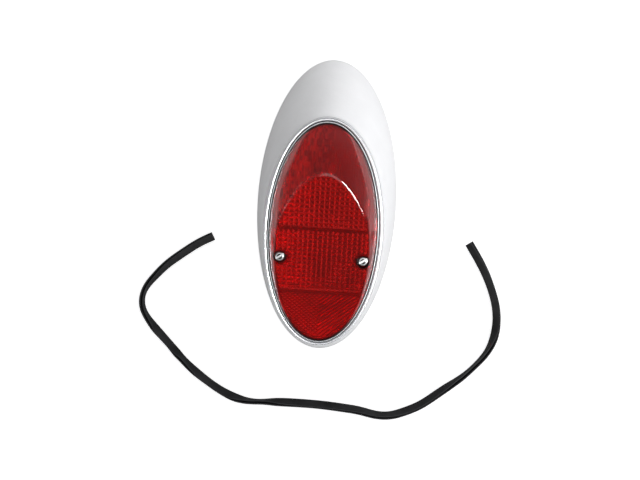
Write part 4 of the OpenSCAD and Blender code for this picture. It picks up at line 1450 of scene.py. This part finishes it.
def make_world(settings):
    """Soft studio light from all round: bright low down and to the right, dim overhead, and dark
    towards the lamp's foot, half way up."""
    world = bpy.data.worlds.new("studio")
    world.use_nodes = True
    tree = world.node_tree
    view = add_node(tree, "TexCoord")["Generated"]
    way = add_node(tree, "SeparateXYZ", Vector=view)
    right = stretched(way["X"], -0.95, 0.95)
    away = stretched(way["Y"], -0.9, 0.9)
    wall = mix_colour(tree, right, LEFT_WALL, RIGHT_WALL)
    upper = mix_colour(tree, away, FOOT_GLOW, mix_colour(tree, right, LEFT_GLOW, RIGHT_GLOW))
    upper = mix_colour(tree, stretched(way["Z"], 0.5, 0.85), upper, ROOF_GLOW)
    colour = mix_colour(tree, stretched(way["Z"], 0.26, 0.42), wall, upper)
    for centre, *half_angles, glow in PATCHES:
        near = part_along(tree, view, Vector(centre).normalized())
        share = stretched(near, *(math.cos(math.radians(angle)) for angle in half_angles))
        colour = mix_colour(tree, share, colour, glow)
    feed(tree.nodes["Background"], Color=colour, Strength=settings.world)
    bpy.context.scene.world = world


def make_stage(settings):
    """The view, the camera, the floor and the light."""
    view = bpy.context.scene.view_settings
    view.view_transform, view.look = "Standard", "None"
    aim_camera(settings)
    make_floor()
    make_world(settings)
    for name, (way, width, depth, power, shows_in) in LAMPS.items():
        make_lamp(name, way, width, depth, power * settings.key, shows_in)


# ---------- settings, operators and panel ----------


def length(name, description, default, low, high):
    """A setting in metres, from values in millimetres."""
    return FloatProperty(
        name=name, description=description, default=default * MM, min=low * MM, max=high * MM,
        unit="LENGTH",
    )


class StageSettings(bpy.types.PropertyGroup):
    lens_length: FloatProperty(
        name="Camera lens", description="Focal length of the camera", default=88.3, min=20, max=200,
        unit="CAMERA",
    )
    distance: FloatProperty(
        name="Camera distance", description="Distance of the camera from the lamp", default=1.3,
        min=0.5, max=4, unit="LENGTH",
    )
    world: FloatProperty(
        name="Surround light", description="Strength of the light from all round", default=1.0,
        min=0, max=4,
    )
    key: FloatProperty(
        name="Key light", description="Strength of all the soft lamps", default=1.0, min=0, max=5
    )


class PodSettings(bpy.types.PropertyGroup):
    colour: FloatVectorProperty(
        name="Pod paint", description="Colour of the paint on the pod", subtype="COLOR", size=3,
        min=0, max=1, default=(0.82, 0.82, 0.83),
    )


class RingSettings(bpy.types.PropertyGroup):
    bead: length("Bead width", "Width of the ring's bead", 2.9, 2.4, 3.3)
    bead_height: length("Bead height", "Height of the bead over the lip", 2.9, 2.0, 3.5)


class LensSettings(bpy.types.PropertyGroup):
    colour: FloatVectorProperty(
        name="Lens colour", description="Colour that light takes on through the lens",
        subtype="COLOR", size=3, min=0, max=1, default=(0.97, 0.017, 0.013),
    )
    pitch: length("Waffle pitch", "Width of one cell of the waffle", 3.9, 2.0, 6.0)
    waffle_depth: length("Waffle depth", "Depth of each cell of the waffle", 1.7, 0, 2.0)
    reflex_depth: length("Reflex depth", "Depth of the reflex prisms", 1.0, 0, 1.6)
    flute_depth: length("Flute depth", "Depth of the flutes under the crown", 0.5, 0, 1.0)
    # Painted shade: how much the valleys between the prisms are darkened.
    valley_shade: FloatProperty(
        name="Valley shade", description="How much deeper the colour is between the prisms",
        default=0.7, min=0, max=1,
    )
    # Painted shade: how much darker the lens is painted on the right than on the left.
    deeper: FloatProperty(
        name="Deeper side", description="How much deeper the colour is on the right than on the left",
        default=0.6, min=0, max=1,
    )


class ScrewSettings(bpy.types.PropertyGroup):
    slot_angle: FloatProperty(
        name="Slot angle", description="Turn of the slots at rest", default=math.radians(34), min=0,
        max=math.pi, unit="ROTATION", subtype="ANGLE",
    )
    slot_width: length("Slot width", "Width of the slots", 1.7, 0.6, 1.8)


class BulbSettings(bpy.types.PropertyGroup):
    turns: FloatProperty(
        name="Spring turns", description="Turns of each socket's spring", default=2.5, min=1.5, max=3.5
    )


class StripSettings(bpy.types.PropertyGroup):
    width: length("Strip width", "Width of the rubber strip", 6.6, 5.0, 8.0)


class REARLAMP_OT_stage(bpy.types.Operator):
    """Sets up the camera, the floor and the light"""

    bl_idname = "rear_lamp.stage"
    bl_label = "Stage"

    def execute(self, context):
        make_stage(context.scene.rear_lamp_stage)
        return {"FINISHED"}


class REARLAMP_OT_strip(bpy.types.Operator):
    """Lays the loose rubber seal strip on the floor"""

    bl_idname = "rear_lamp.strip"
    bl_label = "Rim seal"

    def execute(self, context):
        make_strip()
        return {"FINISHED"}


class REARLAMP_OT_pod(bpy.types.Operator):
    """Presses the painted pod with its front lip and rim flange"""

    bl_idname = "rear_lamp.pod"
    bl_label = "Pod"

    def execute(self, context):
        make_pod(context.scene.rear_lamp_pod)
        return {"FINISHED"}


class REARLAMP_OT_ring(bpy.types.Operator):
    """Makes the plated trim ring"""

    bl_idname = "rear_lamp.ring"
    bl_label = "Trim ring"

    def execute(self, context):
        make_ring(context.scene.rear_lamp_ring)
        return {"FINISHED"}


class REARLAMP_OT_gasket(bpy.types.Operator):
    """Moulds the rubber seat of the lens"""

    bl_idname = "rear_lamp.gasket"
    bl_label = "Lens seat"

    def execute(self, context):
        make_gasket()
        return {"FINISHED"}


class REARLAMP_OT_lens(bpy.types.Operator):
    """Moulds the red lens with its prisms, ribs and screw recesses"""

    bl_idname = "rear_lamp.lens"
    bl_label = "Lens"

    def execute(self, context):
        make_lens(context.scene.rear_lamp_lens)
        return {"FINISHED"}


class REARLAMP_OT_screws(bpy.types.Operator):
    """Makes the two slotted lens screws and dresses their washers"""

    bl_idname = "rear_lamp.screws"
    bl_label = "Lens screws"

    def execute(self, context):
        make_screws(context.scene.rear_lamp_screws)
        return {"FINISHED"}


class REARLAMP_OT_bulbs(bpy.types.Operator):
    """Blows the glass of the two bulbs and dresses their caps"""

    bl_idname = "rear_lamp.bulbs"
    bl_label = "Bulbs"

    def execute(self, context):
        make_bulbs()
        return {"FINISHED"}


class REARLAMP_OT_filaments(bpy.types.Operator):
    """Winds the filaments and their support wires"""

    bl_idname = "rear_lamp.filaments"
    bl_label = "Filaments"

    def execute(self, context):
        make_filaments()
        return {"FINISHED"}


class REARLAMP_OT_springs(bpy.types.Operator):
    """Winds the springs behind the contact discs"""

    bl_idname = "rear_lamp.springs"
    bl_label = "Socket springs"

    def execute(self, context):
        make_springs(context.scene.rear_lamp_bulbs)
        return {"FINISHED"}


class REARLAMP_OT_holder(bpy.types.Operator):
    """Dresses the bulb holder, its sockets and its terminals"""

    bl_idname = "rear_lamp.holder"
    bl_label = "Bulb holder"

    def execute(self, context):
        dress_all(HOLDER)
        return {"FINISHED"}


class REARLAMP_OT_fixings(bpy.types.Operator):
    """Dresses the fixing bars, nuts and rivets"""

    bl_idname = "rear_lamp.fixings"
    bl_label = "Fixings"

    def execute(self, context):
        dress_all(FIXINGS)
        return {"FINISHED"}


SETTINGS = {
    "rear_lamp_stage": StageSettings,
    "rear_lamp_strip": StripSettings,
    "rear_lamp_pod": PodSettings,
    "rear_lamp_ring": RingSettings,
    "rear_lamp_lens": LensSettings,
    "rear_lamp_screws": ScrewSettings,
    "rear_lamp_bulbs": BulbSettings,
}

OPERATORS = [
    REARLAMP_OT_stage,
    REARLAMP_OT_strip,
    REARLAMP_OT_pod,
    REARLAMP_OT_ring,
    REARLAMP_OT_gasket,
    REARLAMP_OT_lens,
    REARLAMP_OT_screws,
    REARLAMP_OT_bulbs,
    REARLAMP_OT_filaments,
    REARLAMP_OT_springs,
    REARLAMP_OT_holder,
    REARLAMP_OT_fixings,
]


class REARLAMP_PT_panel(bpy.types.Panel):
    """Lists the lamp's settings and the steps that build it"""

    bl_idname = "REARLAMP_PT_panel"
    bl_label = "Oval Rear Lamp"
    bl_space_type = "VIEW_3D"
    bl_region_type = "UI"
    bl_category = "Rear Lamp"

    def draw(self, context):
        for name, settings in SETTINGS.items():
            box = self.layout.box()
            for value in settings.__annotations__:
                box.prop(getattr(context.scene, name), value)
        column = self.layout.column(align=True)
        for operator in OPERATORS:
            column.operator(operator.bl_idname)


def register():
    """Adds the settings, the operators and the panel."""
    for kind in [*SETTINGS.values(), *OPERATORS, REARLAMP_PT_panel]:
        bpy.utils.register_class(kind)
    for name, settings in SETTINGS.items():
        setattr(bpy.types.Scene, name, PointerProperty(type=settings))


def unregister():
    """Takes them away again."""
    for name in SETTINGS:
        delattr(bpy.types.Scene, name)
    for kind in reversed([*SETTINGS.values(), *OPERATORS, REARLAMP_PT_panel]):
        bpy.utils.unregister_class(kind)


def main():
    """Builds the whole lamp."""
    register()
    for operator in OPERATORS:
        group, name = operator.bl_idname.split(".")
        getattr(getattr(bpy.ops, group), name)()


if __name__ == "__main__":
    main()
